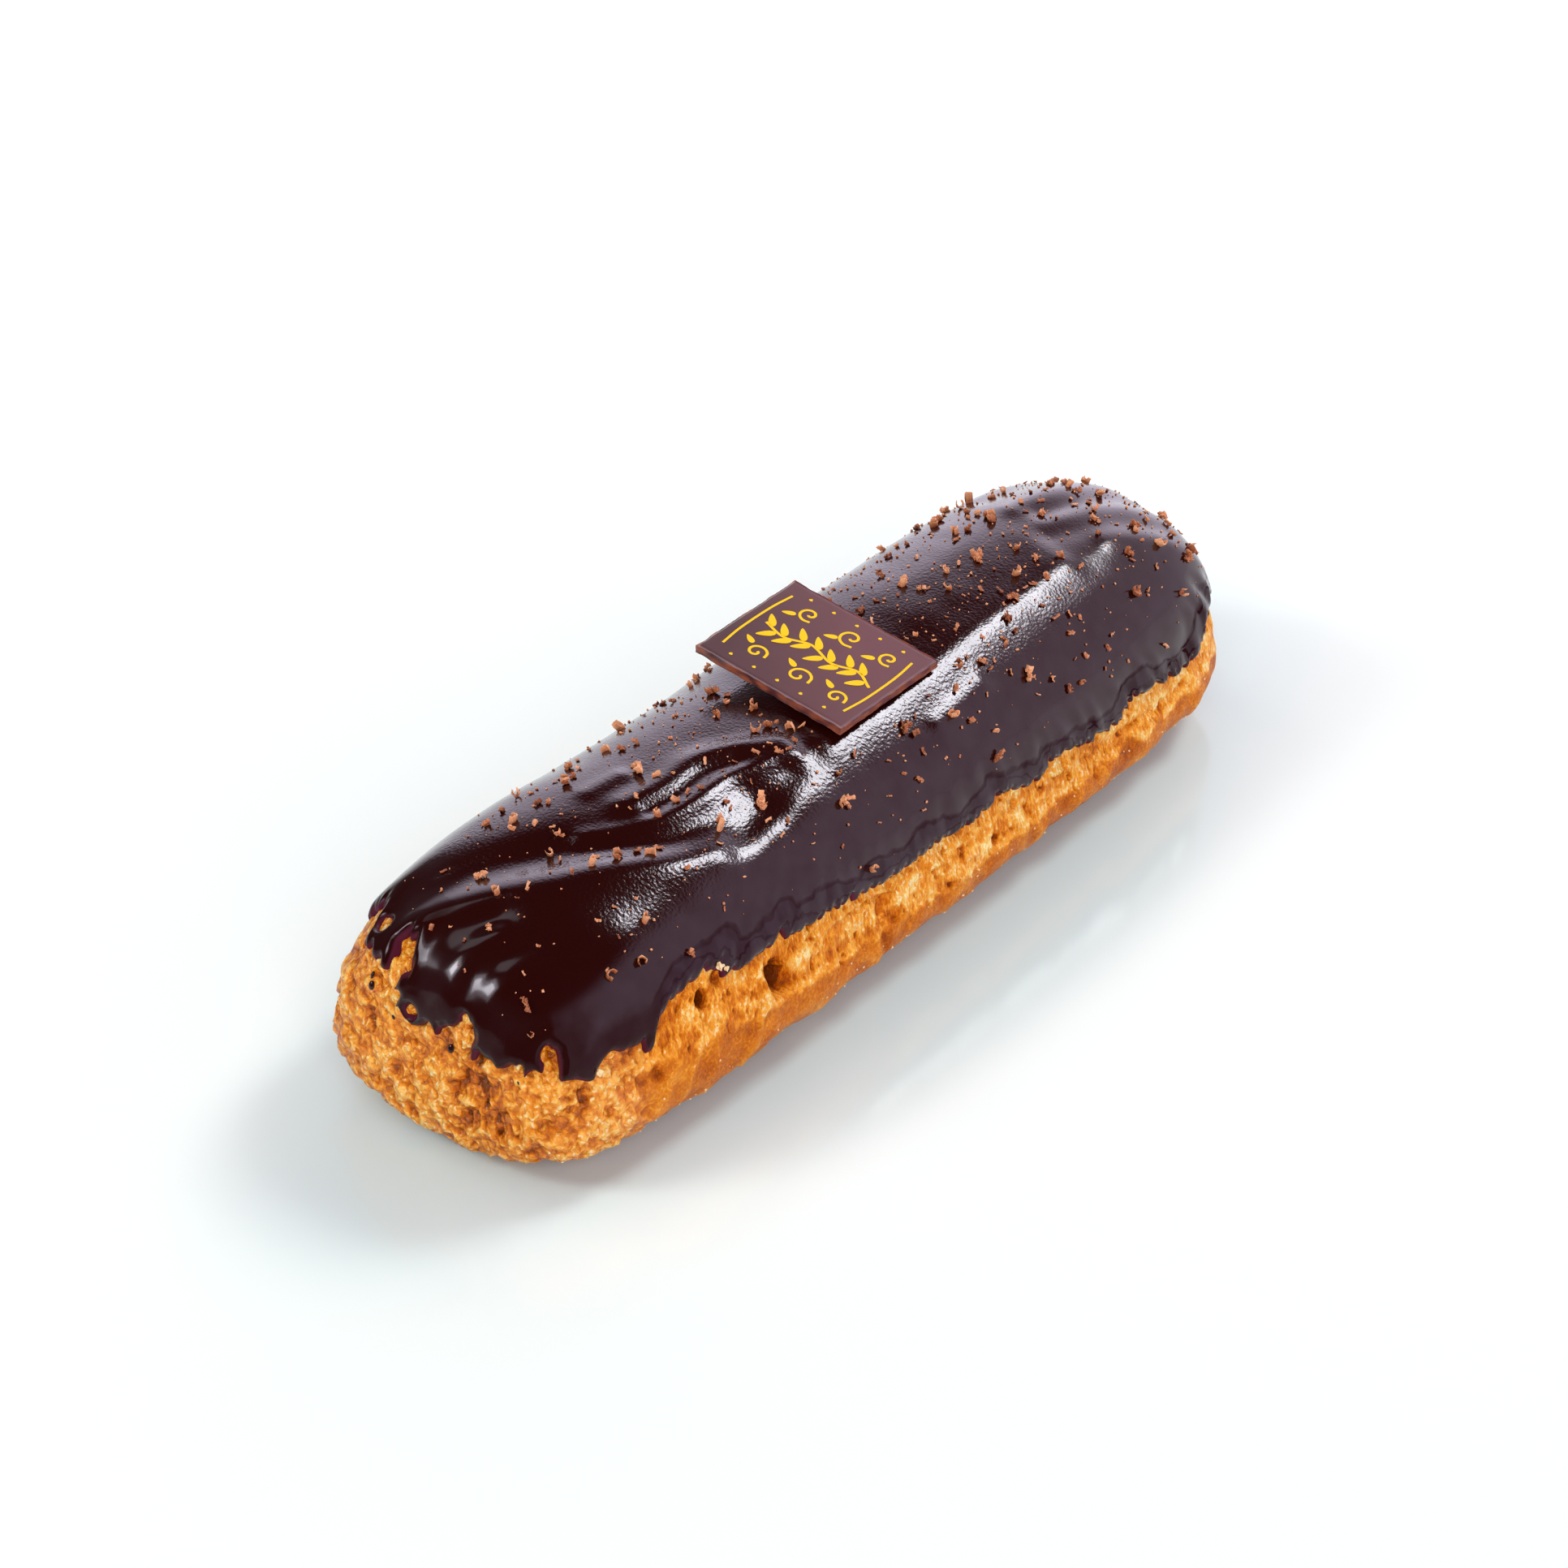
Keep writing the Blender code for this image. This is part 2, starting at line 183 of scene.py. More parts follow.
def mix_colour(tree, share, first, second):
    """From the first colour to the second as the share goes from 0 to 1. Numbers mix as greys."""
    node = tree.nodes.new("ShaderNodeMix")
    node.data_type = "RGBA"
    feed(tree, node.inputs[MIX_SHARE], share)
    feed(tree, node.inputs[MIX_FIRST], first)
    feed(tree, node.inputs[MIX_SECOND], second)
    return node.outputs[MIX_RESULT]


def colour_ramp(tree, value, stops):
    node = tree.nodes.new("ShaderNodeValToRGB")
    elements = node.color_ramp.elements
    while len(elements) < len(stops):
        elements.new(0.5)
    for element, (place, colour) in zip(elements, stops):
        element.position = place
        element.color = (*colour, 1.0)
    feed(tree, node.inputs["Fac"], value)
    return node.outputs["Color"]


def bump(tree, height, depth_mm, normal=None):
    node = tree.nodes.new("ShaderNodeBump")
    node.inputs["Distance"].default_value = depth_mm * MM
    node.inputs["Strength"].default_value = 1.0
    tree.links.new(height, node.inputs["Height"])
    if normal is not None:
        tree.links.new(normal, node.inputs["Normal"])
    return node.outputs["Normal"]


def new_material(name, colour, roughness):
    """A material with one Principled shader, and the sockets of that shader."""
    material = bpy.data.materials.new(name)
    material.use_nodes = True
    sockets = material.node_tree.nodes["Principled BSDF"].inputs
    sockets["Base Color"].default_value = (*colour, 1.0)
    sockets["Roughness"].default_value = roughness
    return material, sockets


print("node helpers for colours and surfaces are ready")

# %% [markdown]
# ## Light
# Chocolate is dark, so most of what is seen on it is what it mirrors. Soft boxes would be seen
# as white shapes in it: one beyond the far end, one to the left of the near end. Each has a
# bright middle and a dim rim, so its glint fades at the edges. Broad lamps that the chocolate
# doesn't mirror lift the pastry and the floor.
# %% Soft boxes
FILL_WHITE = (0.97, 1.0, 1.0)
BOX_WHITE = (0.90, 1.0, 0.96)


def soft_box(name, turn, height, distance, width, radiance, mirrored=True):
    """A square lamp that faces the eclair from a compass turn and a height, both in degrees."""
    place = direction_to(math.radians(turn), math.radians(height))
    lamp_data = bpy.data.lights.new(name, "AREA")
    lamp_data.shape = "SQUARE"
    lamp_data.size = width
    lamp_data.energy = radiance * math.pi * width * width
    lamp_data.color = BOX_WHITE if mirrored else FILL_WHITE
    lamp = bpy.data.objects.new(name, lamp_data)
    bpy.context.scene.collection.objects.link(lamp)
    lamp.location = place * distance
    lamp.rotation_euler = place.to_track_quat("Z", "Y").to_euler()
    lamp.visible_camera = False
    lamp.visible_glossy = mirrored
    print(name, "gives, W:", round(lamp_data.energy, 2))


soft_box("far_box_middle", -14, 48, 1.20, 0.30, 16.0)
soft_box("far_box_rim", -14, 48, 1.25, 0.46, 3.6)
soft_box("left_box_middle", 142, 37, 1.20, 0.28, 13.0)
soft_box("left_box_rim", 142, 37, 1.25, 0.52, 3.2)
soft_box("left_panel", 95, 50, 1.20, 0.40, 1.0)
soft_box("ceiling_fill", 120, 68, 1.60, 1.60, 0.8, mirrored=False)
soft_box("near_fill", 222, 25, 1.60, 1.20, 3.6, mirrored=False)
soft_box("right_fill", -110, 14, 1.60, 1.20, 0.3, mirrored=False)

# %% [markdown]
# The studio walls are a bright band round the horizon. The band is brightest beyond the far
# end, dimmer to the right, and missing behind the camera and to the left, where the chocolate
# mirrors a dark room. Its upper edge is soft, which gives the crown its slow change of tone.
# %% Studio walls
STUDIO_TINT = (0.82, 0.77, 0.90, 1.0)
TO_DEGREES = 180.0 / math.pi
world = bpy.data.worlds.new("studio")
bpy.context.scene.world = world
world.use_nodes = True
sky = world.node_tree
parts = sky.nodes.new("ShaderNodeSeparateXYZ")
sky.links.new(sky.nodes.new("ShaderNodeTexCoord").outputs["Generated"], parts.inputs[0])
compass = calculate(sky, "ARCTAN2", parts.outputs["Y"], parts.outputs["X"])
compass = multiply(sky, compass, TO_DEGREES)
rise = multiply(sky, calculate(sky, "ARCSINE", parts.outputs["Z"]), TO_DEGREES)

wall_span = multiply(sky, fade(sky, compass, -126, -121), fade(sky, compass, 64, 54))
beyond_far_end = multiply(sky, fade(sky, compass, -10, 25, 0.0, 1.8), fade(sky, compass, 40, 52, 1.0, 0.4))
wall_light = multiply(sky, wall_span, add(sky, beyond_far_end, 1.0))
wall_top = fade(sky, compass, 5, 30, 51, 46)
soft_reach = fade(sky, compass, -20, 0, 14, 28)
below_top = calculate(sky, "DIVIDE", subtract(sky, wall_top, rise), soft_reach)
wall_light = multiply(sky, wall_light, fade(sky, below_top, 0.0, 1.0))
room_light = fade(sky, rise, 50, 20, 0.02, 0.12)
below_horizon = fade(sky, rise, 0, -1, 0.0, 1.0)
studio_light = calculate(sky, "MAXIMUM", add(sky, wall_light, room_light), below_horizon)
sky.links.new(studio_light, sky.nodes["Background"].inputs["Strength"])
sky.nodes["Background"].inputs["Color"].default_value = STUDIO_TINT
print("sky nodes:", len(sky.nodes))

# %% [markdown]
# The eclair stands on a white, slightly glossy floor, so a faint mirror image of its side shows below it,
# as on a polished white table. The orange crust colours the light that falls next to it, so the floor is
# painted darker and cooler under and round the eclair, a painted shade that keeps the shadow grey.
# %% Floor
FLOOR_SIZE = 6.0
FLOOR_WHITE = (0.85, 0.85, 0.84)
# Painted shade: the floor colour under and next to the eclair, darker and cooler than the white.
FLOOR_PAINTED_SHADE_UNDER_CRUST = (0.63, 0.735, 0.765)
PAINTED_SHADE_REACH_ALONG = 110.0
PAINTED_SHADE_REACH_ACROSS = 45.0
floor_mesh = bpy.data.meshes.new("floor")
bm = bmesh.new()
bmesh.ops.create_grid(bm, x_segments=1, y_segments=1, size=FLOOR_SIZE / 2)
bm.to_mesh(floor_mesh)
bm.free()
floor = bpy.data.objects.new("floor", floor_mesh)
bpy.context.scene.collection.objects.link(floor)
white_table, table_sockets = new_material("white_table", FLOOR_WHITE, 0.14)
table = white_table.node_tree
along_share = calculate(table, "DIVIDE", axis(table, "X"), PAINTED_SHADE_REACH_ALONG)
across_share = calculate(table, "DIVIDE", axis(table, "Y"), PAINTED_SHADE_REACH_ACROSS)
squares = [calculate(table, "POWER", share, 2.0) for share in (along_share, across_share)]
# Painted shade: the floor turns from the darker cool colour near the eclair to white further away.
away = fade(table, add(table, *squares), 0.30, 1.05)
table_colour = mix_colour(table, away, FLOOR_PAINTED_SHADE_UNDER_CRUST, FLOOR_WHITE)
table.links.new(table_colour, table_sockets["Base Color"])
floor_mesh.materials.append(white_table)
print("studio is up, floor across, m:", FLOOR_SIZE)

# %% [markdown]
# ## The form shared by shell and glaze
# An eclair is a long bun: seen from above its ends are round, across it the top is a full arch,
# and it is widest a little above the table. Widths and heights at the near end, the middle and
# the far end give the whole outer surface as a formula, so every piece made from it fits.
# %% Outer form
HALF_LENGTH = 72.5
SIDE_HEIGHT = 7.5
RIGHT_WIDTHS = np.array([23.5, 22.5, 21.0])
LEFT_WIDTHS = np.array([24.0, 22.0, 21.5])
CROWN_RISES = np.array([24.5, 25.0, 26.5])
UNDERSIDE_DROP = 8.8
PLAN_SQUARENESS = 5.9
PROFILE_SQUARENESS = 5.0
UNDERSIDE_SQUARENESS = 5.7
SECTION_SQUARENESS = 2.6
TYPICAL_HALF_WIDTH = 22.0
TYPICAL_RISE = 25.0


def smooth_step(value, low, high):
    share = np.clip((value - low) / (high - low), 0.0, 1.0)
    return share * share * (3.0 - 2.0 * share)


def along(values, t):
    """Smooth value at t, from -1 at the first of the even stations to 1 at the last."""
    place = (np.asarray(t) + 1.0) / 2.0 * (len(values) - 1)
    index = np.clip(place.astype(int), 0, len(values) - 2)
    share = place - index
    start, end = values[index], values[index + 1]
    start_slope = (end - values[np.maximum(index - 1, 0)]) / 2.0
    end_slope = (values[np.minimum(index + 2, len(values) - 1)] - start) / 2.0
    return (
        start * (2 * share**3 - 3 * share**2 + 1)
        + start_slope * (share**3 - 2 * share**2 + share)
        + end * (3 * share**2 - 2 * share**3)
        + end_slope * (share**3 - share**2)
    )


def rounded(share, squareness):
    """Height of a rounded outline of half size 1 at a share of its half length."""
    return (1.0 - np.minimum(np.abs(share), 1.0) ** squareness) ** (1.0 / squareness)


def half_width(x, y):
    """Half width of the widest line at x, on the side where y lies."""
    t = x / HALF_LENGTH
    width = np.where(y < 0, along(RIGHT_WIDTHS, t), along(LEFT_WIDTHS, t))
    return width * rounded(t, PLAN_SQUARENESS)


def share_across(x, y):
    """How far out a place lies: 0 on the middle line, 1 on the widest line and beyond it."""
    return np.minimum(np.abs(y) / np.maximum(half_width(x, y), 1e-3), 1.0)


middle_widths = [round(float(half_width(0.0, side)), 1) for side in (-1.0, 1.0)]
print("half widths in the middle, right and left, mm:", middle_widths)

# %% [markdown]
# ## Ridges and hollows of the crown
# Choux pastry puffs up unevenly, and the glaze follows it and adds its own soft folds. Each
# fold is a smooth line in the plan with a reach and a height, and its height fades away from
# the line like a bell curve. A groove is a fold with a minus height. The glints on real glaze
# show where its folds are: a glint runs along the flank that faces the lamp.
# %% Folds of the crown
# Each fold: the points (x, y) of its line, then its reach and its height, all in mm.
CROWN_FOLDS = (
    # The long fold from the near end to the middle, with a groove above it and one more fold.
    (((-66, 5.5), (-60, 0.5), (-56, -2.5), (-51, -6), (-46, -9), (-41, -11.5), (-34.5, -13.5)), 3.0, 0.55),
    (((-64, 11), (-57, 6), (-50, 0.5), (-44, -4.5), (-38, -9), (-31, -11), (-25, -11)), 3.6, -0.9),
    (((-45, -1), (-41, -4), (-37, -6), (-31, -6.8), (-25, -6.6), (-20, -7.8), (-15, -9.5)), 1.5, 0.5),
    # The eye-shaped hollow above them.
    (((-36, -4), (-31, -4.4), (-26, -4.2), (-21, -5.5)), 1.4, -0.35),
    (((-37, -1), (-31, -1.6), (-25, -1.2), (-20, -3.5), (-15, -7)), 2.0, 0.6),
    (((-38, 4.5), (-33, 3.8)), 1.6, 0.35),
    # A broad hollow of the crown's left half, a swell over the near right corner, and the
    # right shoulder: a groove along its near half, then a ridge past the plaque.
    (((-30, 15), (-20, 16), (-10, 15)), 7.0, -0.8),
    (((-58, -9), (-56, -13), (-55, -17)), 5.0, 0.5),
    (((-18, -11), (-23, -12), (-28, -13), (-33, -14.5)), 2.0, -0.3),
    (((-10, -10.5), (10, -10.5), (42, -9)), 2.6, 0.4),
    (((6, -16.5), (16, -15.5)), 1.6, 0.45),
    # The lobes that ran over the near end.
    (((-71, 4), (-67, 3), (-62, -2)), 2.0, -0.3),
    (((-71.5, -1.5), (-68, -2), (-64, -4)), 1.8, 0.4),
    (((-71.5, -5), (-68, -5), (-63, -8)), 1.5, -0.25),
    (((-71.5, -8.5), (-68, -8.5), (-64, -11)), 1.8, 0.35),
    # The crown beyond the plaque and the wrinkles of the far end.
    (((22, 2), (40, 3), (55, 0)), 11.0, 0.8),
    (((20, 14), (40, 15), (56, 14)), 5.0, 0.4),
    (((46, -4), (56, -7), (64, -10)), 2.2, -0.35),
    (((48, 4), (58, 3), (67, 1)), 2.4, 0.45),
    (((50, 0), (60, -2), (68, -5)), 1.8, -0.35),
    (((50, 10), (60, 9), (68, 8)), 2.2, -0.4),
    (((52, -9), (60, -12), (66, -14)), 2.0, 0.2),
)
print("folds and grooves of the crown:", len(CROWN_FOLDS))

# %% [markdown]
# A few points are enough for a fold, because a smooth curve is drawn through them. The distance
# from that curve then says how much of the fold a place gets.
# %% Smooth lines, distances and noise
def smooth_line(points, steps=6):
    """The points of a line with more points between them, on a smooth curve through them all."""
    points = np.array(points, dtype=float)
    padded = np.vstack([2 * points[0] - points[1], points, 2 * points[-1] - points[-2]])
    curve = []
    for before, start, end, after in zip(padded, padded[1:], padded[2:], padded[3:]):
        for share in np.arange(steps) / steps:
            curve.append(0.5 * (
                2 * start + (end - before) * share + (2 * before - 5 * start + 4 * end - after) * share**2
                + (3 * start - before - 3 * end + after) * share**3
            ))
    curve.append(points[-1])
    return np.array(curve)


def line_distance(x, y, points):
    """Distance in the plan from each (x, y) to a line through points."""
    nearest = np.full(np.shape(x), np.inf)
    for (ax, ay), (bx, by) in zip(points, points[1:]):
        dx, dy = bx - ax, by - ay
        share = np.clip(((x - ax) * dx + (y - ay) * dy) / (dx * dx + dy * dy), 0.0, 1.0)
        nearest = np.minimum(nearest, np.hypot(x - ax - share * dx, y - ay - share * dy))
    return nearest


def noise_at(x, y, z, size):
    """Noise from about -1 to 1 at each point, with features about as large as size."""
    points = np.stack(np.broadcast_arrays(x, y, z), axis=-1).reshape(-1, 3) / size
    values = np.array([noise.noise(Vector(point)) for point in points])
    return values.reshape(np.shape(np.broadcast_arrays(x, y, z)[0]))


print("points of the first fold's curve:", len(smooth_line(CROWN_FOLDS[0][0])))

# %% [markdown]
# The crown is the full arch with the folds on top of it. The folds fade out down the sides,
# where the glaze hangs smooth. The underside curves in below the widest line, down to the base.
# %% Height of the outer surface
RIPPLE_HEIGHT = 0.06
RIPPLE_SIZE = 5.0
RELIEF_START = 0.30 * CROWN_RISES[0]
RELIEF_FULL = 0.70 * CROWN_RISES[0]


def crown_relief(x, y):
    """Height that the folds and a slight unevenness add to the crown."""
    height = RIPPLE_HEIGHT * noise_at(x, y, 0.0, RIPPLE_SIZE)
    for points, reach, top in CROWN_FOLDS:
        distance = line_distance(x, y, smooth_line(points))
        height = height + top * np.exp(-((distance / reach) ** 2))
    return height


def crown_height(x, y, relief=True):
    """Height of the outer surface above the table, from the widest line up to the crown."""
    t = x / HALF_LENGTH
    rise = along(CROWN_RISES, t) * rounded(t, PROFILE_SQUARENESS)
    level = rise * rounded(share_across(x, y), SECTION_SQUARENESS)
    if relief:
        relief_share = smooth_step(level, RELIEF_START, RELIEF_FULL)
        level = level + relief_share * crown_relief(x, y)
    return SIDE_HEIGHT + level


def underside_height(x, y):
    """Height of the outer surface above the table, from the widest line down to the base."""
    drop = UNDERSIDE_DROP * rounded(x / HALF_LENGTH, UNDERSIDE_SQUARENESS)
    return np.maximum(SIDE_HEIGHT - drop * rounded(share_across(x, y), 2.0), 0.0)


crown_middle = float(crown_height(np.array(0.0), np.array(0.0)))
print("crown height in the middle, mm:", round(crown_middle, 1))

# %% [markdown]
# ## Edge of the glaze
# Dipped glaze stops in lobes, bays and short drips. Its edge is one line round the eclair, given
# by points that lie on the surface. Each point becomes a distance round the bun, counted from
# the middle of the near end, and a height, and a smooth curve runs through them all.
# %% Distance round the bun
def signed_power(value, power):
    """A power that keeps the sign, so that it draws a rounded square out of a circle."""
    return np.sign(value) * np.abs(value) ** power


def length_so_far(points):
    """Length of a line from its first point to each of its points."""
    steps = np.linalg.norm(np.diff(points, axis=0), axis=1)
    return np.concatenate([[0.0], np.cumsum(steps)])


def turn_round(x, y):
    """Turn of a place round the middle of the eclair, 0 at the near end."""
    return np.arctan2(-y / TYPICAL_HALF_WIDTH, -x / HALF_LENGTH)


turn_steps = np.linspace(-math.pi, math.pi, 4001)
outline_x = -HALF_LENGTH * signed_power(np.cos(turn_steps), 2 / PLAN_SQUARENESS)
outline_y = -np.sign(np.sin(turn_steps)) * half_width(outline_x, -np.sin(turn_steps))
outline_turn = np.unwrap(turn_round(outline_x, outline_y))
outline_turn[0], outline_turn[-1] = -math.pi, math.pi
outline_length = length_so_far(np.stack([outline_x, outline_y], axis=1))
outline_length -= np.interp(0.0, outline_turn, outline_length)
ROUND_END = outline_length[-1]


def distance_round(x, y):
    """Distance round the bun in mm, 0 at the near end, growing along the right side."""
    return np.interp(turn_round(x, y), outline_turn, outline_length)


print("distance round the bun, mm:", round(2 * ROUND_END))

# %% [markdown]
# The points follow the lobes and drips of a real coat. The near end and the right side have the
# most of them, because that is where the glaze ran down in narrow tongues.
# %% Points of the glaze edge
RIGHT_EDGE = (
    (-72.4, 0.0, 18.1), (-72.4, -0.7, 16.9), (-72.2, -1.8, 18.4), (-72.0, -3.9, 19.9),
    (-71.5, -4.5, 21.4), (-71.4, -5.4, 21.6), (-71.9, -6.6, 19.8), (-72.2, -6.2, 17.9),
    (-72.4, -6.5, 16.0), (-72.2, -7.5, 17.5), (-72.1, -9.3, 17.0), (-71.9, -11.2, 16.8),
    (-71.2, -13.3, 17.6), (-71.4, -13.9, 16.2), (-70.6, -14.9, 17.7), (-70.1, -15.9, 17.3),
    (-69.6, -15.4, 19.3), (-68.5, -16.0, 20.2), (-68.1, -17.0, 19.2), (-68.9, -17.7, 16.4),
    (-67.3, -18.9, 16.2), (-65.4, -20.0, 15.3), (-64.4, -20.0, 16.7), (-62.8, -20.2, 17.6),
    (-60.0, -20.9, 17.3), (-58.0, -21.4, 16.9), (-57.0, -21.7, 15.3), (-55.7, -21.7, 16.1),
    (-53.9, -21.2, 18.4), (-52.2, -20.9, 19.9), (-46.0, -20.8, 20.7), (-43.1, -21.2, 20.3),
    (-42.8, -21.5, 18.4), (-41.4, -21.5, 18.8), (-39.2, -21.4, 18.7), (-33.4, -21.5, 18.6),
    (-32.4, -21.5, 19.6), (-31.4, -21.5, 18.3), (-28.0, -21.6, 17.9), (-22.2, -21.8, 17.4),
    (-12.0, -21.9, 16.3), (-1.0, -21.9, 16.1), (8.4, -21.9, 15.7), (13.8, -21.8, 16.4),
    (19.8, -21.8, 14.5), (24.3, -21.7, 15.7), (30.7, -21.5, 14.7), (38.4, -21.3, 13.9),
    (44.2, -21.1, 15.7), (54.4, -20.1, 13.8), (59.6, -19.2, 14.2), (62.8, -18.2, 16.0),
    (66.2, -16.5, 18.2), (69.4, -13.5, 17.0), (71.4, -9.0, 18.9), (72.3, -3.0, 16.6),
)
LEFT_EDGE = (
    (-72.4, 3.0, 16.9), (-72.2, 5.1, 18.4), (-72.2, 6.3, 17.5), (-72.1, 5.8, 18.5),
    (-71.8, 5.2, 20.2), (-71.8, 6.5, 20.3), (-71.2, 5.8, 22.2), (-70.4, 4.9, 23.7),
    (-69.2, 5.2, 25.2), (-67.9, 6.7, 26.1), (-68.4, 8.3, 25.4), (-69.9, 7.8, 23.8),
    (-70.8, 8.0, 22.3), (-70.8, 9.1, 21.9), (-70.2, 9.8, 22.7), (-70.3, 11.6, 21.7),
    (-69.4, 12.1, 22.8), (-68.8, 14.1, 22.0), (-67.0, 14.5, 24.2), (-64.5, 16.2, 24.4),
    (-62.0, 19.0, 20.6), (-57.0, 21.2, 16.9), (-48.0, 23.0, 16.6), (-41.0, 22.8, 19.2),
    (-32.0, 22.6, 18.4), (-24.0, 22.3, 15.9), (-14.0, 22.0, 16.8), (6.0, 21.4, 17.6),
    (16.0, 21.3, 15.1), (25.0, 21.3, 16.4), (43.0, 21.0, 17.2), (51.0, 20.6, 14.6),
    (58.0, 20.0, 15.2), (65.0, 17.8, 18.8), (70.0, 13.0, 16.4), (72.0, 6.0, 18.4),
)
FAR_EDGE_HEIGHT = 17.4
EDGE_OVERRUN = 2.0
MEAN_REACH = 5.0


def edge_line():
    """The edge as a smooth curve of (distance round, height), from far end to far end."""
    left_to_right = list(reversed(LEFT_EDGE)) + list(RIGHT_EDGE)
    points = [(float(distance_round(x, y)), z) for x, y, z in left_to_right]
    first = (-ROUND_END - EDGE_OVERRUN, FAR_EDGE_HEIGHT)
    last = (ROUND_END + EDGE_OVERRUN, FAR_EDGE_HEIGHT)
    return smooth_line([first, *points, last], 5)


def mean_edge_height(place):
    """Height of the edge near one distance round the bun, with its lobes smoothed away."""
    closeness = np.exp(-((EDGE[:, 0] - place) / MEAN_REACH) ** 2)
    return np.average(EDGE[:, 1], weights=closeness + 1e-9)


EDGE = edge_line()
edge_mean_places = np.linspace(-ROUND_END, ROUND_END, 400)
edge_mean = np.array([mean_edge_height(place) for place in edge_mean_places])
print("points on the glaze edge:", len(EDGE))

# %% [markdown]
# Every later step asks how far a place is from that edge. The answer is found piece by piece of
# the line, and only for the places near each piece. A place has glaze if a line straight down
# from it crosses the edge an odd number of times.
# %% Distance to the glaze edge
FARTHEST = 8.0
TINY = 1e-9


def above_edge(s, z):
    """Signed distance to the glaze edge in mm, plus above it where the glaze is."""
    nearest = np.full(s.shape, FARTHEST)
    crossings = np.zeros(s.shape, dtype=int)
    for (start_s, start_z), (end_s, end_z) in zip(EDGE, EDGE[1:]):
        ds, dz = end_s - start_s, end_z - start_z
        close = np.flatnonzero(np.abs(s - (start_s + end_s) / 2) < FARTHEST + abs(ds) / 2)
        from_s, from_z = s[close] - start_s, z[close] - start_z
        share = np.clip((from_s * ds + from_z * dz) / max(ds * ds + dz * dz, TINY), 0.0, 1.0)
        distance = np.hypot(from_s - share * ds, from_z - share * dz)
        nearest[close] = np.minimum(nearest[close], distance)
        spans = (start_s <= s[close]) != (end_s <= s[close])
        slope = dz / (ds if abs(ds) > TINY else TINY)
        crossings[close] += spans & (from_s * slope < from_z)
    return np.where(crossings % 2 == 1, nearest, -nearest)


sample_height = above_edge(np.array([0.0]), np.array([25.0]))[0]
print("glaze edge below a point 25 mm up on the near end, mm:", round(float(sample_height), 1))

# %% [markdown]
# ## Choux shell
# The shell is a sphere mesh whose columns run from the crown down to the base. Each column's
# points are slid on to the outer form: close together where the bare crust shows, far apart
# where the glaze hides it. The columns are closest on the near end, whose crust is crumbly.
# %% Columns of the choux mesh
CHOUX_COLUMNS = 960
HIDDEN_ROWS = 5
BAND_ROWS = 84
BASE_ROWS = 3
BAND_TOP = 5.5
SPOKE_POINTS = 300
SPACING_PLACES = (-64.0, -52.0, 50.0, 62.0, 158.0, 170.0)
SPACINGS = (0.62, 0.24, 0.24, 0.36, 0.36, 0.62)


def spoke(foot, height_of):
    """Points of the outer surface from the widest line at a foot to the middle of the eclair."""
    share = 1.0 - np.linspace(0.0, 1.0, SPOKE_POINTS) ** 3
    x, y = share * foot[0], share * foot[1]
    return np.stack([x, y, height_of(x, y)], axis=1)


def spread(points, shares):
    """Points at the given shares of the length of a line."""
    lengths = length_so_far(points)
    wanted_lengths = np.asarray(shares) * lengths[-1]
    return np.stack([np.interp(wanted_lengths, lengths, values) for values in points.T], axis=1)


def column_feet():
    """Where the columns cross the widest line of the bun."""
    spacing = np.interp(outline_length, SPACING_PLACES, SPACINGS)
    weight = np.concatenate([[0.0], np.cumsum(np.diff(outline_length) / spacing[1:])])
    target = np.arange(CHOUX_COLUMNS) / CHOUX_COLUMNS * weight[-1]
    return np.interp(target, weight, outline_x), np.interp(target, weight, outline_y)


def plain_crown(x, y):
    return crown_height(x, y, relief=False)


def choux_column(x, y):
    """One column of the outer surface, from just below the crown to the middle of the base."""
    upper = spoke((x, y), plain_crown)
    top = np.interp(distance_round(x, y), edge_mean_places, edge_mean) + BAND_TOP
    split = int(np.argmax(upper[:, 2] >= top))
    lower = spoke((x, y), underside_height)
    contact = int(np.argmax(lower[:, 2] <= 0.0))
    hidden = spread(upper[split:], [(row / HIDDEN_ROWS) ** 1.5 for row in range(1, HIDDEN_ROWS)])
    band_line = np.vstack([lower[contact::-1], upper[1:split + 1]])
    band = spread(band_line, np.linspace(0.0, 1.0, BAND_ROWS))
    base = spread(lower[contact:], [row / BASE_ROWS for row in range(1, BASE_ROWS)])
    return np.vstack([hidden[::-1], band[::-1], base])


feet_x, feet_y = column_feet()
columns = [choux_column(x, y) for x, y in zip(feet_x, feet_y)]
print("columns:", len(columns), " points in each:", len(columns[0]))

# %% [markdown]
# Each vertex of the sphere tells its row and its column by its direction, and moves to the point
# that the column has there. The two poles become the top of the crown and the middle of the base.
# %% Slide the sphere on to the columns
CROWN_TOP = float(plain_crown(np.array(0.0), np.array(0.0)))
choux_rows = len(columns[0]) + 1
bm = bmesh.new()
bmesh.ops.create_uvsphere(bm, u_segments=CHOUX_COLUMNS, v_segments=choux_rows, radius=1.0)
for vertex in bm.verts:
    from_pole = math.acos(max(-1.0, min(1.0, vertex.co.z)))
    turn = math.atan2(vertex.co.y, vertex.co.x)
    row = round(from_pole / math.pi * choux_rows)
    column = round(turn / (2 * math.pi) * CHOUX_COLUMNS) % CHOUX_COLUMNS
    if row == 0:
        vertex.co = (0.0, 0.0, CROWN_TOP)
    elif row == choux_rows:
        vertex.co = (0.0, 0.0, 0.0)
    else:
        vertex.co = columns[column][row - 1]
bmesh.ops.recalc_face_normals(bm, faces=bm.faces)
bm.normal_update()
print("choux vertices:", len(bm.verts))
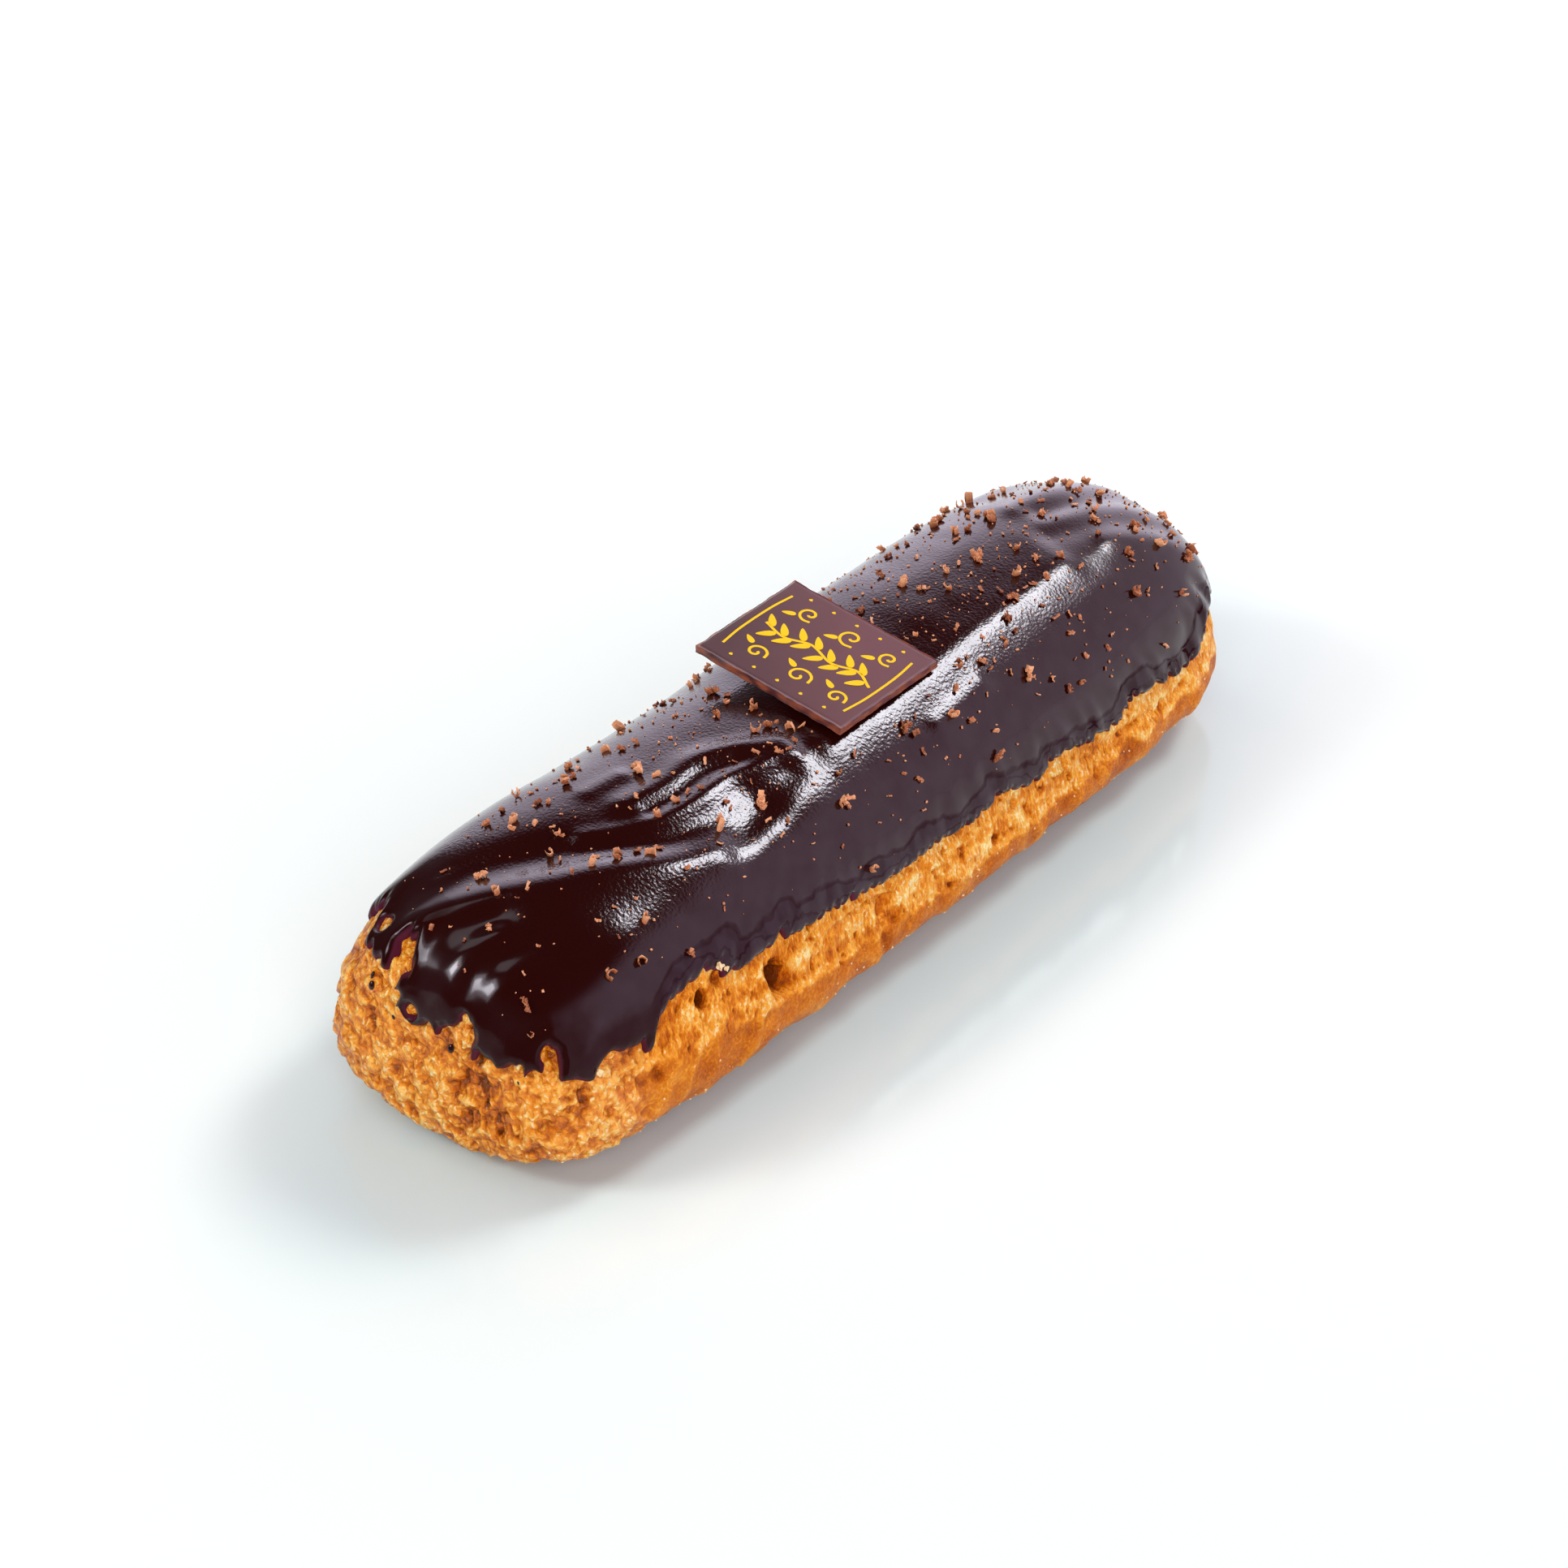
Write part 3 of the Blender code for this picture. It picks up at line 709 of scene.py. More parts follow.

# %% [markdown]
# ## Crust of the near end
# The near end is crumbly. Voronoi noise gives the distance to the nearest of many scattered points, and a
# dome over each point makes a rounded grain with narrow cracks round it. Domes of two sizes, small ridges,
# slow swells and a few hollows are added up. Every part also changes how pale the crust is: what stands
# out is painted paler and what lies deep is painted darker, a painted light on the grains and a painted
# shade in the cracks and hollows. The noise vector starts from the clock unless it gets a seed. Any whole
# number but 0 will do as a seed, and with one the grains lie in the same places every time.
# %% Crumbly crust
WARP_SEED = 1795666975
CLUSTER_SIZE = 2.8
NODULE_SIZE = 1.0
WARP_SIZE = 1.6
WARP_DEPTH = 0.8
CRUMBLY_PALENESS = 0.74
# For each part of the crust: its push in mm and how much paler it makes the crust, which is painted light
# where it stands out and painted shade where it lies deep.
CRUMBLY_PARTS = {
    "cluster": (0.55, 0.24),
    "nodule": (0.55, 0.34),
    "ridge": (0.12, 0.14),
    "swell": (0.35, 0.16),
    "hollow": (-1.8, -0.8),
}


def domes(point, size):
    """Rounded grains of one size, 0.6 at their tops and about minus 0.4 between them."""
    distances, _ = noise.voronoi(point / size)
    return 0.6 - 1.6 * distances[0] ** 2


def creases(point):
    """Noise folded at its zero line, so that it makes thin ridges, 0.5 at their tops."""
    return 0.5 - 2.0 * abs(noise.noise(point))


def crumbly_crust(point):
    """Push in mm and paleness of the crumbly crust of the near end."""
    warped = point + noise.noise_vector(point / WARP_SIZE) * WARP_DEPTH
    grainy = min(max(0.6 + 2.4 * noise.noise(point / 3.5), 0.1), 1.0)
    grainy *= float(smooth_step(point.y, 24.0, 2.0))
    values = {
        "cluster": domes(warped, CLUSTER_SIZE),
        "nodule": grainy * domes(warped, NODULE_SIZE),
        "ridge": creases(warped / 1.3),
        "swell": noise.fractal(point / 6.0, 0.9, 2.0, 3),
        "hollow": max(0.0, noise.noise(warped / 2.7 + Vector((8.3, 0.0, 0.0))) - 0.16),
    }
    push = sum(CRUMBLY_PARTS[name][0] * value for name, value in values.items())
    # Painted light and shade: the paleness follows the push, paler on what stands out and darker in cracks
    # and hollows.
    paler = sum(CRUMBLY_PARTS[name][1] * value for name, value in values.items())
    return push, CRUMBLY_PALENESS + paler


noise.seed_set(WARP_SEED)
print("parts of the crumbly crust:", ", ".join(CRUMBLY_PARTS))

# %% [markdown]
# ## Crust of the sides
# Along the sides the crust stretched as it rose. Its upper part is pale, with fine upright
# fibres and small pores, and its lower part is browner and smoother. On the right side there
# are also seams, where the crust tore and healed, and a few pits.
# %% Seams and pits of the right side
# Each seam: points (x, z) of its line, then its reach, its height and how pale it is.
SEAMS = (
    (((-36.2, 17.0), (-36.2, 12.3), (-38.2, 9.5), (-41.0, 5.0), (-42.0, 2.0)), 0.55, 0.5, 0.28),
    (((-47.5, 16.6), (-49.0, 12.5), (-51.4, 9.0), (-54.0, 3.0)), 0.5, 0.3, 0.25),
    (((-15.2, 14.5), (-14.4, 9.0), (-14.7, 5.5)), 0.5, 0.45, 0.2),
    (((-13.6, 14.0), (-12.8, 9.0), (-13.4, 5.0)), 0.8, -0.6, -0.15),
    (((18.0, 13.5), (18.4, 9.3), (20.0, 6.0)), 0.7, -0.45, -0.15),
    (((41.0, 13.0), (42.5, 9.3), (42.0, 6.0)), 0.8, -0.4, -0.1),
    (((-29.4, 17.8), (-25.0, 16.6), (-21.0, 15.8), (-15.6, 15.3)), 0.35, 0.5, 0.2),
    (((-13.0, 14.9), (-6.7, 14.3), (1.0, 13.4), (8.4, 11.9)), 0.35, 0.5, 0.2),
    (((-30.0, 16.6), (-25.0, 15.6), (-21.0, 14.8), (-15.6, 14.2)), 0.4, -0.4, -0.2),
    (((24.0, 13.2), (34.0, 12.6), (46.0, 12.9), (56.0, 11.8)), 0.4, 0.45, 0.15),
    (((24.0, 12.0), (34.0, 11.4), (46.0, 11.7), (56.0, 10.6)), 0.5, -0.4, -0.2),
)
# Each pit: its middle (x, z), its reach, its depth and how dark it is, a painted shade in the pit.
PITS = (
    (-33.9, 13.9, 1.8, 2.8, 0.85), (-33.0, 13.0, 1.6, 1.6, 0.40), (-31.8, 12.4, 1.6, 0.7, 0.15),
    (-47.1, 17.8, 0.85, 3.0, 1.60), (-12.2, 12.6, 1.4, 1.0, 0.35), (-10.8, 10.4, 1.1, 0.7, 0.2),
    (11.0, 10.4, 0.8, 0.8, 0.4), (-56.5, 12.0, 1.0, 0.9, 0.4), (34.0, 8.6, 0.6, 0.6, 0.3),
    (28.0, 11.0, 0.45, 0.8, 0.5), (50.0, 10.5, 0.7, 0.6, 0.4), (-22.0, 9.6, 0.3, 0.6, 0.6),
    (-21.2, 10.1, 0.25, 0.6, 0.6), (-60.5, 13.8, 0.9, 1.2, 0.45), (-44.0, 19.2, 0.9, 0.8, 0.25),
    (16.0, 13.0, 0.8, 0.8, 0.35), (-26.5, 15.2, 0.3, 0.5, 0.5), (-5.0, 13.2, 0.3, 0.5, 0.5),
    (4.0, 11.6, 0.35, 0.5, 0.5), (21.5, 12.6, 0.35, 0.6, 0.5), (40.0, 11.4, 0.3, 0.5, 0.5),
)


def side_noise(s, z, across, upward, seed):
    """Noise on the unrolled side, with features of one size along it and another up it."""
    return noise.noise(Vector((s / across, z / upward, seed)))


def seams_and_pits(point, s):
    """Push in mm and change of paleness by the seams and pits of the right side."""
    x = point.x + 0.9 * side_noise(s, point.z, 1.6, 1.6, 2.0)
    z = point.z + 1.3 * side_noise(s, point.z, 2.4, 3.0, 4.0)
    broken = 0.55 + 0.9 * side_noise(s, point.z, 3.0, 3.0, 6.0)
    push, tone = 0.0, 0.0
    for points, reach, top, pale in SEAMS:
        near = broken * math.exp(-((float(line_distance(x, z, points)) / reach) ** 2))
        push += top * near
        tone += pale * near
    shift = 0.25 * noise.noise(point / 0.8)
    # Each pit is painted darker as well as pushed in, a painted shade in its hollow.
    for px, pz, reach, depth, dark in PITS:
        across, upward = (point.x - px + shift) / reach, (point.z - pz - shift) / reach
        near = math.exp(-((across**2 + 0.7 * upward**2) ** 2))
        push -= depth * near
        tone -= dark * near
    return push, tone


print("seams:", len(SEAMS), " pits:", len(PITS))

# %% [markdown]
# The pale upper part starts at a ragged line that runs lower in the middle of the eclair. The
# fibres are noise that is narrow along the side and long up it, and they stop at that line.
# %% Stretched crust
PALE_LINE_PLACES = (-56.0, -47.0, -35.0, -20.0, 10.0, 60.0)
PALE_LINE_HEIGHTS = (13.5, 12.0, 10.8, 9.6, 8.8, 9.6)
SIDE_PALENESS = 0.44
FIBRE_PALENESS = 0.22
NEAR_FIBRES_DARKER = 0.10
# For each part of the crust: its push in mm and how much paler it makes the crust.
# The lip along the pale line is painted paler, a painted highlight on its little ridge.
SIDE_PARTS = {"pillow": (0.55, 0.12), "glinting_lip": (0.10, 0.10), "patch": (0.07, 0.14)}
FIBRE_PARTS = {
    "crease": (0.14, 0.12),
    "strand": (0.16, 0.12),
    # A pore is painted darker as well as pushed in, a painted shade in its hole.
    "shaded_pore": (-1.2, -1.1),
    "cream": (0.0, 0.34),
}


def stretched_crust(point, s, right_side):
    """Push in mm, paleness and share of upright fibres of the stretched crust along the sides."""
    z = point.z
    pale_line = float(np.interp(point.x, PALE_LINE_PLACES, PALE_LINE_HEIGHTS))
    pale_line += 1.6 * noise.noise(Vector((s / 3.5, 3.0, 0.0)))
    pale_line += 0.8 * noise.noise(Vector((s / 0.9, 7.0, 0.0)))
    fibres = float(smooth_step(z, pale_line - 0.6, pale_line + 0.4))
    side_values = {
        "pillow": noise.fractal(point / 7.0, 0.8, 2.0, 3),
        "glinting_lip": math.exp(-(((z - pale_line) / 0.45) ** 2)),
        "patch": noise.noise(point / 2.2),
    }
    fibre_values = {
        "crease": creases(Vector((s / 0.9, z / 3.4, 0.0))),
        "strand": side_noise(s, z, 1.5, 3.0, 5.0),
        "shaded_pore": max(0.0, side_noise(s, z, 0.7, 1.2, 9.0) - 0.30),
        "cream": side_noise(s, z, 4.0, 2.2, 12.0),
    }
    near_share = 1.0 - float(smooth_step(point.x, -50.0, -15.0))
    push = sum(SIDE_PARTS[name][0] * value for name, value in side_values.items())
    push += fibres * sum(FIBRE_PARTS[name][0] * value for name, value in fibre_values.items())
    tone = SIDE_PALENESS + sum(SIDE_PARTS[name][1] * value for name, value in side_values.items())
    fibre_tone = sum(FIBRE_PARTS[name][1] * value for name, value in fibre_values.items())
    tone += fibres * (FIBRE_PALENESS + fibre_tone - NEAR_FIBRES_DARKER * near_share)
    if right_side:
        torn_push, torn_tone = seams_and_pits(point, s)
        push, tone = push + torn_push, tone + torn_tone
    return push, tone, fibres


print("parts of the stretched crust:", ", ".join([*SIDE_PARTS, *FIBRE_PARTS]))

# %% [markdown]
# Now every vertex moves along its normal by the push of its place. The two kinds of crust blend
# into each other a little behind the near end. Where the glaze lies on the shell, the shell is
# set in to leave room for it. How pale the crust is and how fibrous stay on the mesh as two
# numbers at each vertex, which the material reads later.
# %% Push the crust out
SHELL_DROP = 1.0
COVERED_DROP = 0.35
UNDER_GLAZE_RELIEF_CUT = 0.8
# Painted shade: the crust is darker towards the base, where it curves under to the table.
BASE_PAINTED_SHADE = 0.22
paleness = bm.verts.layers.float.new("paleness")
fibre_share = bm.verts.layers.float.new("fibres")
coordinates = np.array([vertex.co for vertex in bm.verts])
normals = [vertex.normal.copy() for vertex in bm.verts]
heights = coordinates[:, 2]
rounds = distance_round(coordinates[:, 0], coordinates[:, 1])
local_edge = np.interp(rounds, edge_mean_places, edge_mean)
insets = SHELL_DROP * smooth_step(heights, 7.0, local_edge - 1.0)
insets = insets + COVERED_DROP * smooth_step(heights, local_edge + 2.0, local_edge + 5.0)
under_glaze = smooth_step(heights, local_edge + 1.0, local_edge + 4.5)
side_shares = smooth_step(coordinates[:, 0], -62.0, -54.0)
base_shares = smooth_step(heights, 0.0, 3.2)
for index, vertex in enumerate(bm.verts):
    point = vertex.co.copy()
    if point.z > 0.05 and under_glaze[index] < 1.0:
        side = side_shares[index]
        push, tone = 0.0, 0.0
        if side < 1.0:
            end_push, end_tone = crumbly_crust(point)
            push, tone = (1.0 - side) * end_push, (1.0 - side) * end_tone
        if side > 0.0:
            side_push, side_tone, fibres = stretched_crust(point, rounds[index], point.y < 0.0)
            push, tone = push + side * side_push, tone + side * side_tone
            vertex[fibre_share] = side * fibres
        push *= base_shares[index] * (1.0 - UNDER_GLAZE_RELIEF_CUT * under_glaze[index])
        vertex.co += normals[index] * (push - insets[index])
        # Painted shade: darker towards the base.
        vertex[paleness] = tone - BASE_PAINTED_SHADE * (1.0 - base_shares[index]) ** 2
    else:
        vertex.co -= normals[index] * insets[index]
    vertex.co.z = max(vertex.co.z, 0.0)
bmesh.ops.scale(bm, vec=(MM, MM, MM), verts=bm.verts)
print("paleness from", round(min(v[paleness] for v in bm.verts), 2), "to",
      round(max(v[paleness] for v in bm.verts), 2))

# %% [markdown]
# Every piece is finished in the same way. Its mesh is put in an object that stays at the origin and rides
# on the body of the eclair, and the plain solid it stands for is hidden.
# %% Hand a piece over
def shade_smooth(bm):
    for face in bm.faces:
        face.smooth = True


def finish_piece(name, bm, material, node):
    """Turn a bmesh into a piece that rides on the eclair and stands for a plain solid."""
    mesh = bpy.data.meshes.new(name)
    bm.to_mesh(mesh)
    bm.free()
    mesh.materials.append(material)
    piece = bpy.data.objects.new(name, mesh)
    bpy.context.scene.collection.objects.link(piece)
    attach(piece, "root")
    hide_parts(node)
    triangles = sum(len(polygon.vertices) - 2 for polygon in mesh.polygons)
    print(name, "triangles:", triangles)
    return piece


shade_smooth(bm)
print("the shell will replace choux_shell")

# %% [markdown]
# ## Choux colour
# Baked crust is pale gold where it stretched. Where it stands out it is painted paler, a painted light,
# and in its cracks and near the base it is painted deep orange brown, a painted shade. The material starts
# from the paleness kept on the mesh, adds noise finer than the mesh, upright along the sides, and turns
# the sum into colour with a ramp.
# %% Browns and granules of the crust
GRANULE_SIZE = 0.95
GRANULE_WARP = (1.6, 1.6, 1.6)
GRANULE_STEEPNESS = 1.4
CHOUX_BROWNS = (
    (0.02, (0.17, 0.028, 0.001)),
    (0.22, (0.42, 0.076, 0.001)),
    (0.42, (0.66, 0.160, 0.003)),
    (0.62, (0.86, 0.300, 0.020)),
    (0.82, (0.95, 0.460, 0.080)),
    (1.00, (0.99, 0.700, 0.300)),
)


def granules(tree, size_mm):
    """Glassy grains about size_mm across: 1 in the middle of each, falling to its rim."""
    place = texture_place(tree, size_mm)
    wander = tree.nodes.new("ShaderNodeTexNoise")
    wander.inputs["Scale"].default_value = 0.8
    tree.links.new(place, wander.inputs["Vector"])
    warped = tree.nodes.new("ShaderNodeVectorMath")
    warped.operation = "MULTIPLY_ADD"
    warped.inputs[1].default_value = GRANULE_WARP
    tree.links.new(wander.outputs["Color"], warped.inputs[0])
    tree.links.new(place, warped.inputs[2])
    cells = tree.nodes.new("ShaderNodeTexVoronoi")
    cells.inputs["Scale"].default_value = 1.0
    cells.inputs["Detail"].default_value = 1.0
    cells.inputs["Roughness"].default_value = 0.35
    tree.links.new(warped.outputs[0], cells.inputs["Vector"])
    return subtract(tree, 1.0, multiply(tree, cells.outputs["Distance"], GRANULE_STEEPNESS))


def fine_crust(tree, on_side, fibres):
    """Detail finer than the mesh: granules on the near end, specks or upright strokes on the sides."""
    strokes = fade(tree, grain(tree, 0.42, 3.0, (1.0, 1.0, 2.6), 0.62), 0.34, 0.68)
    specks = fade(tree, grain(tree, 0.42, 3.0, roughness=0.65), 0.36, 0.68)
    side_detail = mix_colour(tree, fibres, specks, strokes)
    return mix_colour(tree, on_side, granules(tree, GRANULE_SIZE), side_detail)


print("browns in the ramp:", len(CHOUX_BROWNS))

# %% [markdown]
# The near end is glossier than the sides and shows its single grains. A few spots on the paler grains are
# painted pale gold, painted glints that stand for sparkle. A little light goes into the crust and comes
# out again beside, as in all bread.
# %% Choux material
PAINTED_GLINT_GOLD = (1.0, 0.82, 0.52)
PAINTED_GLINT_SHARE = 0.55
MIRROR_GOLD = (1.0, 0.80, 0.52, 1.0)
LIGHT_REACH = (1.0, 0.45, 0.12)
LIGHT_DEPTH = 0.7 * MM


def make_choux_material():
    material, sockets = new_material("baked_choux", (0.6, 0.3, 0.08), 0.42)
    tree = material.node_tree
    fibres = kept(tree, "fibres")
    on_side = fade(tree, axis(tree, "X"), -62, -54)
    fine = fine_crust(tree, on_side, fibres)
    side_share = fade(tree, fibres, 0.0, 1.0, 0.22, 0.32)
    end_share = fade(tree, on_side, 1.0, 0.0, 0.0, 0.26)
    # On the near end the granules paint each grain's middle paler and its rim darker, a painted shade
    # between the grains; on the sides the specks and strokes are texture of the crust.
    fine_change = multiply(tree, subtract(tree, fine, 0.5), add(tree, side_share, end_share))
    patch_change = multiply(tree, subtract(tree, grain(tree, 3.2, 3.0), 0.5), 0.5)
    tone = add(tree, kept(tree, "paleness"), add(tree, fine_change, patch_change))
    tone = calculate(tree, "MINIMUM", tone, fade(tree, on_side, 0.0, 1.0, 0.86, 1.0))
    # Painted glints: small pale gold spots on the paler grains.
    painted_glint_spots = fade(tree, grain(tree, 0.50, 1.0), 0.57, 0.63)
    painted_glints = multiply(tree, fade(tree, tone, 0.58, 0.76), painted_glint_spots)
    colour = colour_ramp(tree, tone, CHOUX_BROWNS)
    colour = mix_colour(tree, multiply(tree, painted_glints, PAINTED_GLINT_SHARE), colour, PAINTED_GLINT_GOLD)
    tree.links.new(colour, sockets["Base Color"])
    tree.links.new(fade(tree, on_side, 0.0, 1.0, 0.8, 0.22), sockets["Specular IOR Level"])
    tree.links.new(fade(tree, on_side, 0.0, 1.0, 0.20, 0.40), sockets["Roughness"])
    sockets["Specular Tint"].default_value = MIRROR_GOLD
    sockets["Subsurface Weight"].default_value = 0.3
    sockets["Subsurface Radius"].default_value = LIGHT_REACH
    sockets["Subsurface Scale"].default_value = LIGHT_DEPTH
    dents = multiply(tree, fine, fade(tree, on_side, 0.0, 1.0, 2.3, 1.0))
    pores = multiply(tree, grain(tree, 0.22, 2.0), fade(tree, on_side, 0.0, 1.0, 0.2, 1.0))
    tree.links.new(bump(tree, pores, 0.06, bump(tree, dents, 0.15)), sockets["Normal"])
    return material


choux = finish_piece("choux_crust", bm, make_choux_material(), "choux_shell")

# %% [markdown]
# ## Glaze
# The glaze is a flat grid at first, whose two directions stand for the place along the eclair
# and the place across it. The grid is made finer near the edge of the glaze, cut along that edge
# and only then wrapped on to the outer form, so its rim is smooth and can have any outline.
# %% From flat places to the outer form
END_CROWDING = 1.6


def even_scale(points):
    """Length along a line, counted from -1 at its first point to 1 at its last."""
    lengths = length_so_far(points)
    return lengths / lengths[-1] * 2.0 - 1.0


dense_t = np.sin(np.linspace(-math.pi / 2, math.pi / 2, 6001))
dense_t = np.sign(dense_t) * (1.0 - (1.0 - np.abs(dense_t)) ** END_CROWDING)
profile_rise = TYPICAL_RISE * rounded(dense_t, PROFILE_SQUARENESS)
profile_scale = even_scale(np.stack([dense_t * HALF_LENGTH, profile_rise], axis=1))
section_power = 2.0 / SECTION_SQUARENESS
dense_angle = np.linspace(0.0, math.pi, 4001)
section_width = TYPICAL_HALF_WIDTH * signed_power(np.cos(dense_angle), section_power)
section_rise = TYPICAL_RISE * signed_power(np.sin(dense_angle), section_power)
section_scale = even_scale(np.stack([section_width, section_rise], axis=1))


def wrap(u, v, relief=True):
    """Place on the outer form: u goes from end to end, v from the right to the left side."""
    t = np.interp(u, profile_scale, dense_t)
    angle = np.interp(v, section_scale, dense_angle)
    x = t * HALF_LENGTH
    side = -signed_power(np.cos(angle), section_power)
    y = side * half_width(x, side)
    return np.stack([x, y, crown_height(x, y, relief)], axis=-1)


middle_place = wrap(np.array([0.0]), np.array([0.0]))[0]
print("the middle of the grid lands at, mm:", [round(float(value), 1) for value in middle_place])

# %% [markdown]
# The edge of the glaze gets small pointed teeth here, and two small holes where the coat broke.
# They are added to the distance from the edge, which is a number at every place of the grid.
# %% Teeth and holes of the glaze edge
ABOVE_EVERY_EDGE = 29.0
FAR_INSIDE = 9.0
FRINGE_REACH = 3.0
TOOTH_START = 0.24
TOOTH_ROUNDING = 0.004
WAVE_HEIGHT = 0.35
TOOTH_PLACES = (-60.0, -46.0, -5.0, 25.0)
TOOTH_HEIGHTS = (0.9, 1.5, 1.9, 3.0)
EDGE_HOLES = ((-72.2, 3.2, 18.8, 0.8), (-66.4, 12.4, 25.2, 1.0))


def add_teeth(field, x, s, z):
    """The distance to the edge with teeth and waves, which fade away from the edge."""
    tooth = TOOTH_START - np.sqrt(noise_at(s / 1.7, z / 4.0, 0.0, 1.0) ** 2 + TOOTH_ROUNDING)
    wave = noise_at(s / 2.9, z / 3.5, 7.0, 1.0)
    height = np.interp(x, TOOTH_PLACES, TOOTH_HEIGHTS)
    closeness = 1.0 - smooth_step(np.abs(field), 0.4, 2.4)
    return field + closeness * (height * tooth + WAVE_HEIGHT * wave)


def glaze_field(u, v):
    """Signed distance to the glaze's edge, with its pointed teeth and its small holes."""
    places = wrap(u, v, relief=False)
    x, y, z = places.T
    s = distance_round(x, y)
    field = np.full(len(u), FAR_INSIDE)
    near = z < ABOVE_EVERY_EDGE
    field[near] = above_edge(s[near], z[near])
    fringe = np.abs(field) < FRINGE_REACH
    field[fringe] = add_teeth(field[fringe], x[fringe], s[fringe], z[fringe])
    for *middle, radius in EDGE_HOLES:
        field = np.minimum(field, np.linalg.norm(places - middle, axis=1) - radius)
    return field


print("holes in the glaze:", len(EDGE_HOLES))

# %% [markdown]
# A flat grid is made finer in two bands near the edge, one inside the other, and what lies
# outside is cut off. Where the edge crosses a mesh edge, that mesh edge is split at the very
# point, and the new vertices are joined, so the outline is smooth and not made of squares.
# %% Cut the flat grid
GLAZE_ALONG = 400
GLAZE_ACROSS = 150
SPARE_RIM = 1.5
FINE_BANDS = (1.6, 0.5)
ON_EDGE = 0.01


def flat_places(bm):
    flat = np.array([vertex.co for vertex in bm.verts])
    return flat[:, 0], flat[:, 1]


def make_glaze_grid():
    bm = bmesh.new()
    bmesh.ops.create_grid(bm, x_segments=GLAZE_ALONG, y_segments=GLAZE_ACROSS, size=1.0)
    field = glaze_field(*flat_places(bm))
    outside = [vertex for vertex, value in zip(bm.verts, field) if value < -SPARE_RIM]
    bmesh.ops.delete(bm, geom=outside, context="VERTS")
    for band in FINE_BANDS:
        field = glaze_field(*flat_places(bm))
        for vertex, value in zip(bm.verts, field):
            vertex.tag = bool(abs(value) < band)
        fine = [edge for edge in bm.edges if edge.verts[0].tag and edge.verts[1].tag]
        bmesh.ops.subdivide_edges(bm, edges=fine, cuts=1, use_grid_fill=True)
    return bm


def cut_along_edge(bm):
    """Add a vertex wherever the glaze edge crosses the mesh, join them and drop what lies outside."""
    field = glaze_field(*flat_places(bm))
    worth = {vertex: float(value) for vertex, value in zip(bm.verts, field)}
    for vertex, value in worth.items():
        if abs(value) < ON_EDGE:
            worth[vertex] = 0.0
    crossing = [edge for edge in bm.edges if worth[edge.verts[0]] * worth[edge.verts[1]] < 0.0]
    for edge in crossing:
        start, end = edge.verts
        share = worth[start] / (worth[start] - worth[end])
        _, middle = bmesh.utils.edge_split(edge, start, share)
        worth[middle] = 0.0
    on_line = [vertex for vertex in bm.verts if worth[vertex] == 0.0]
    bmesh.ops.connect_verts(bm, verts=on_line)
    outside = [face for face in bm.faces if sum(worth[vertex] for vertex in face.verts) <= 0.0]
    bmesh.ops.delete(bm, geom=outside, context="FACES")
    return {vertex: worth[vertex] for vertex in bm.verts}


bm = make_glaze_grid()
worth = cut_along_edge(bm)
print("glaze faces after the cut:", len(bm.faces))

# %% [markdown]
# ## Glaze thickness
# Where the glaze stops it ends in a round bead, because the melted chocolate drew itself up
# before it set. Above the bead it ran down in soft upright rumples.
# %% Wrap the glaze on to the form
BEAD_REACH = 1.1
BEAD_DROP = SHELL_DROP + 0.12
BEAD_SWELL = 0.10
SKIRT_DEPTH = 0.6
SKIRT_TURN = 0.15
NORMAL_STEP = 0.002
RUMPLE_HEIGHT = 0.20
RUMPLE_PLACES = (-58.0, -45.0, 0.0, 30.0, 55.0)
RUMPLE_SHARES = (0.0, 0.5, 0.9, 2.0, 2.6)


def glaze_offset(field, x, y, z):
    """Push along the surface normal in mm: the round bead at the edge and the rumples above it."""
    bead = np.sqrt(np.clip(1.0 - (1.0 - np.clip(field / BEAD_REACH, 0.0, 1.0)) ** 2, 0.0, 1.0))
    swell = BEAD_SWELL * np.exp(-(((field - 1.3) / 0.8) ** 2))
    rumple = noise_at(distance_round(x, y) / 2.6, z / 7.0, 2.0, 1.0)
    amount = RUMPLE_HEIGHT * smooth_step(field, 0.3, 1.5) * smooth_step(field, 7.5, 3.5)
    amount = amount * np.interp(x, RUMPLE_PLACES, RUMPLE_SHARES)
    return -BEAD_DROP * (1.0 - bead) + swell + amount * rumple


def outward(u, v):
    """Unit vectors square to the outer form."""
    v_before, v_after = np.maximum(v - NORMAL_STEP, -1.0), np.minimum(v + NORMAL_STEP, 1.0)
    along_step = wrap(u + NORMAL_STEP, v) - wrap(u - NORMAL_STEP, v)
    across_step = wrap(u, v_after) - wrap(u, v_before)
    direction = np.cross(along_step, across_step)
    direction /= np.linalg.norm(direction, axis=1)[:, None] + 1e-12
    return direction * np.sign(direction[:, 2:3] + 1e-9)


u, v = flat_places(bm)
field = np.array([worth[vertex] for vertex in bm.verts])
places = wrap(u, v)
directions = outward(u, v)
places = places + directions * glaze_offset(field, *places.T)[:, None]
rim = bm.verts.layers.float.new("rim")
for vertex, place, value in zip(bm.verts, places, field):
    vertex.co = place
    vertex[rim] = value
print("highest point of the glaze, mm:", round(float(places[:, 2].max()), 1))

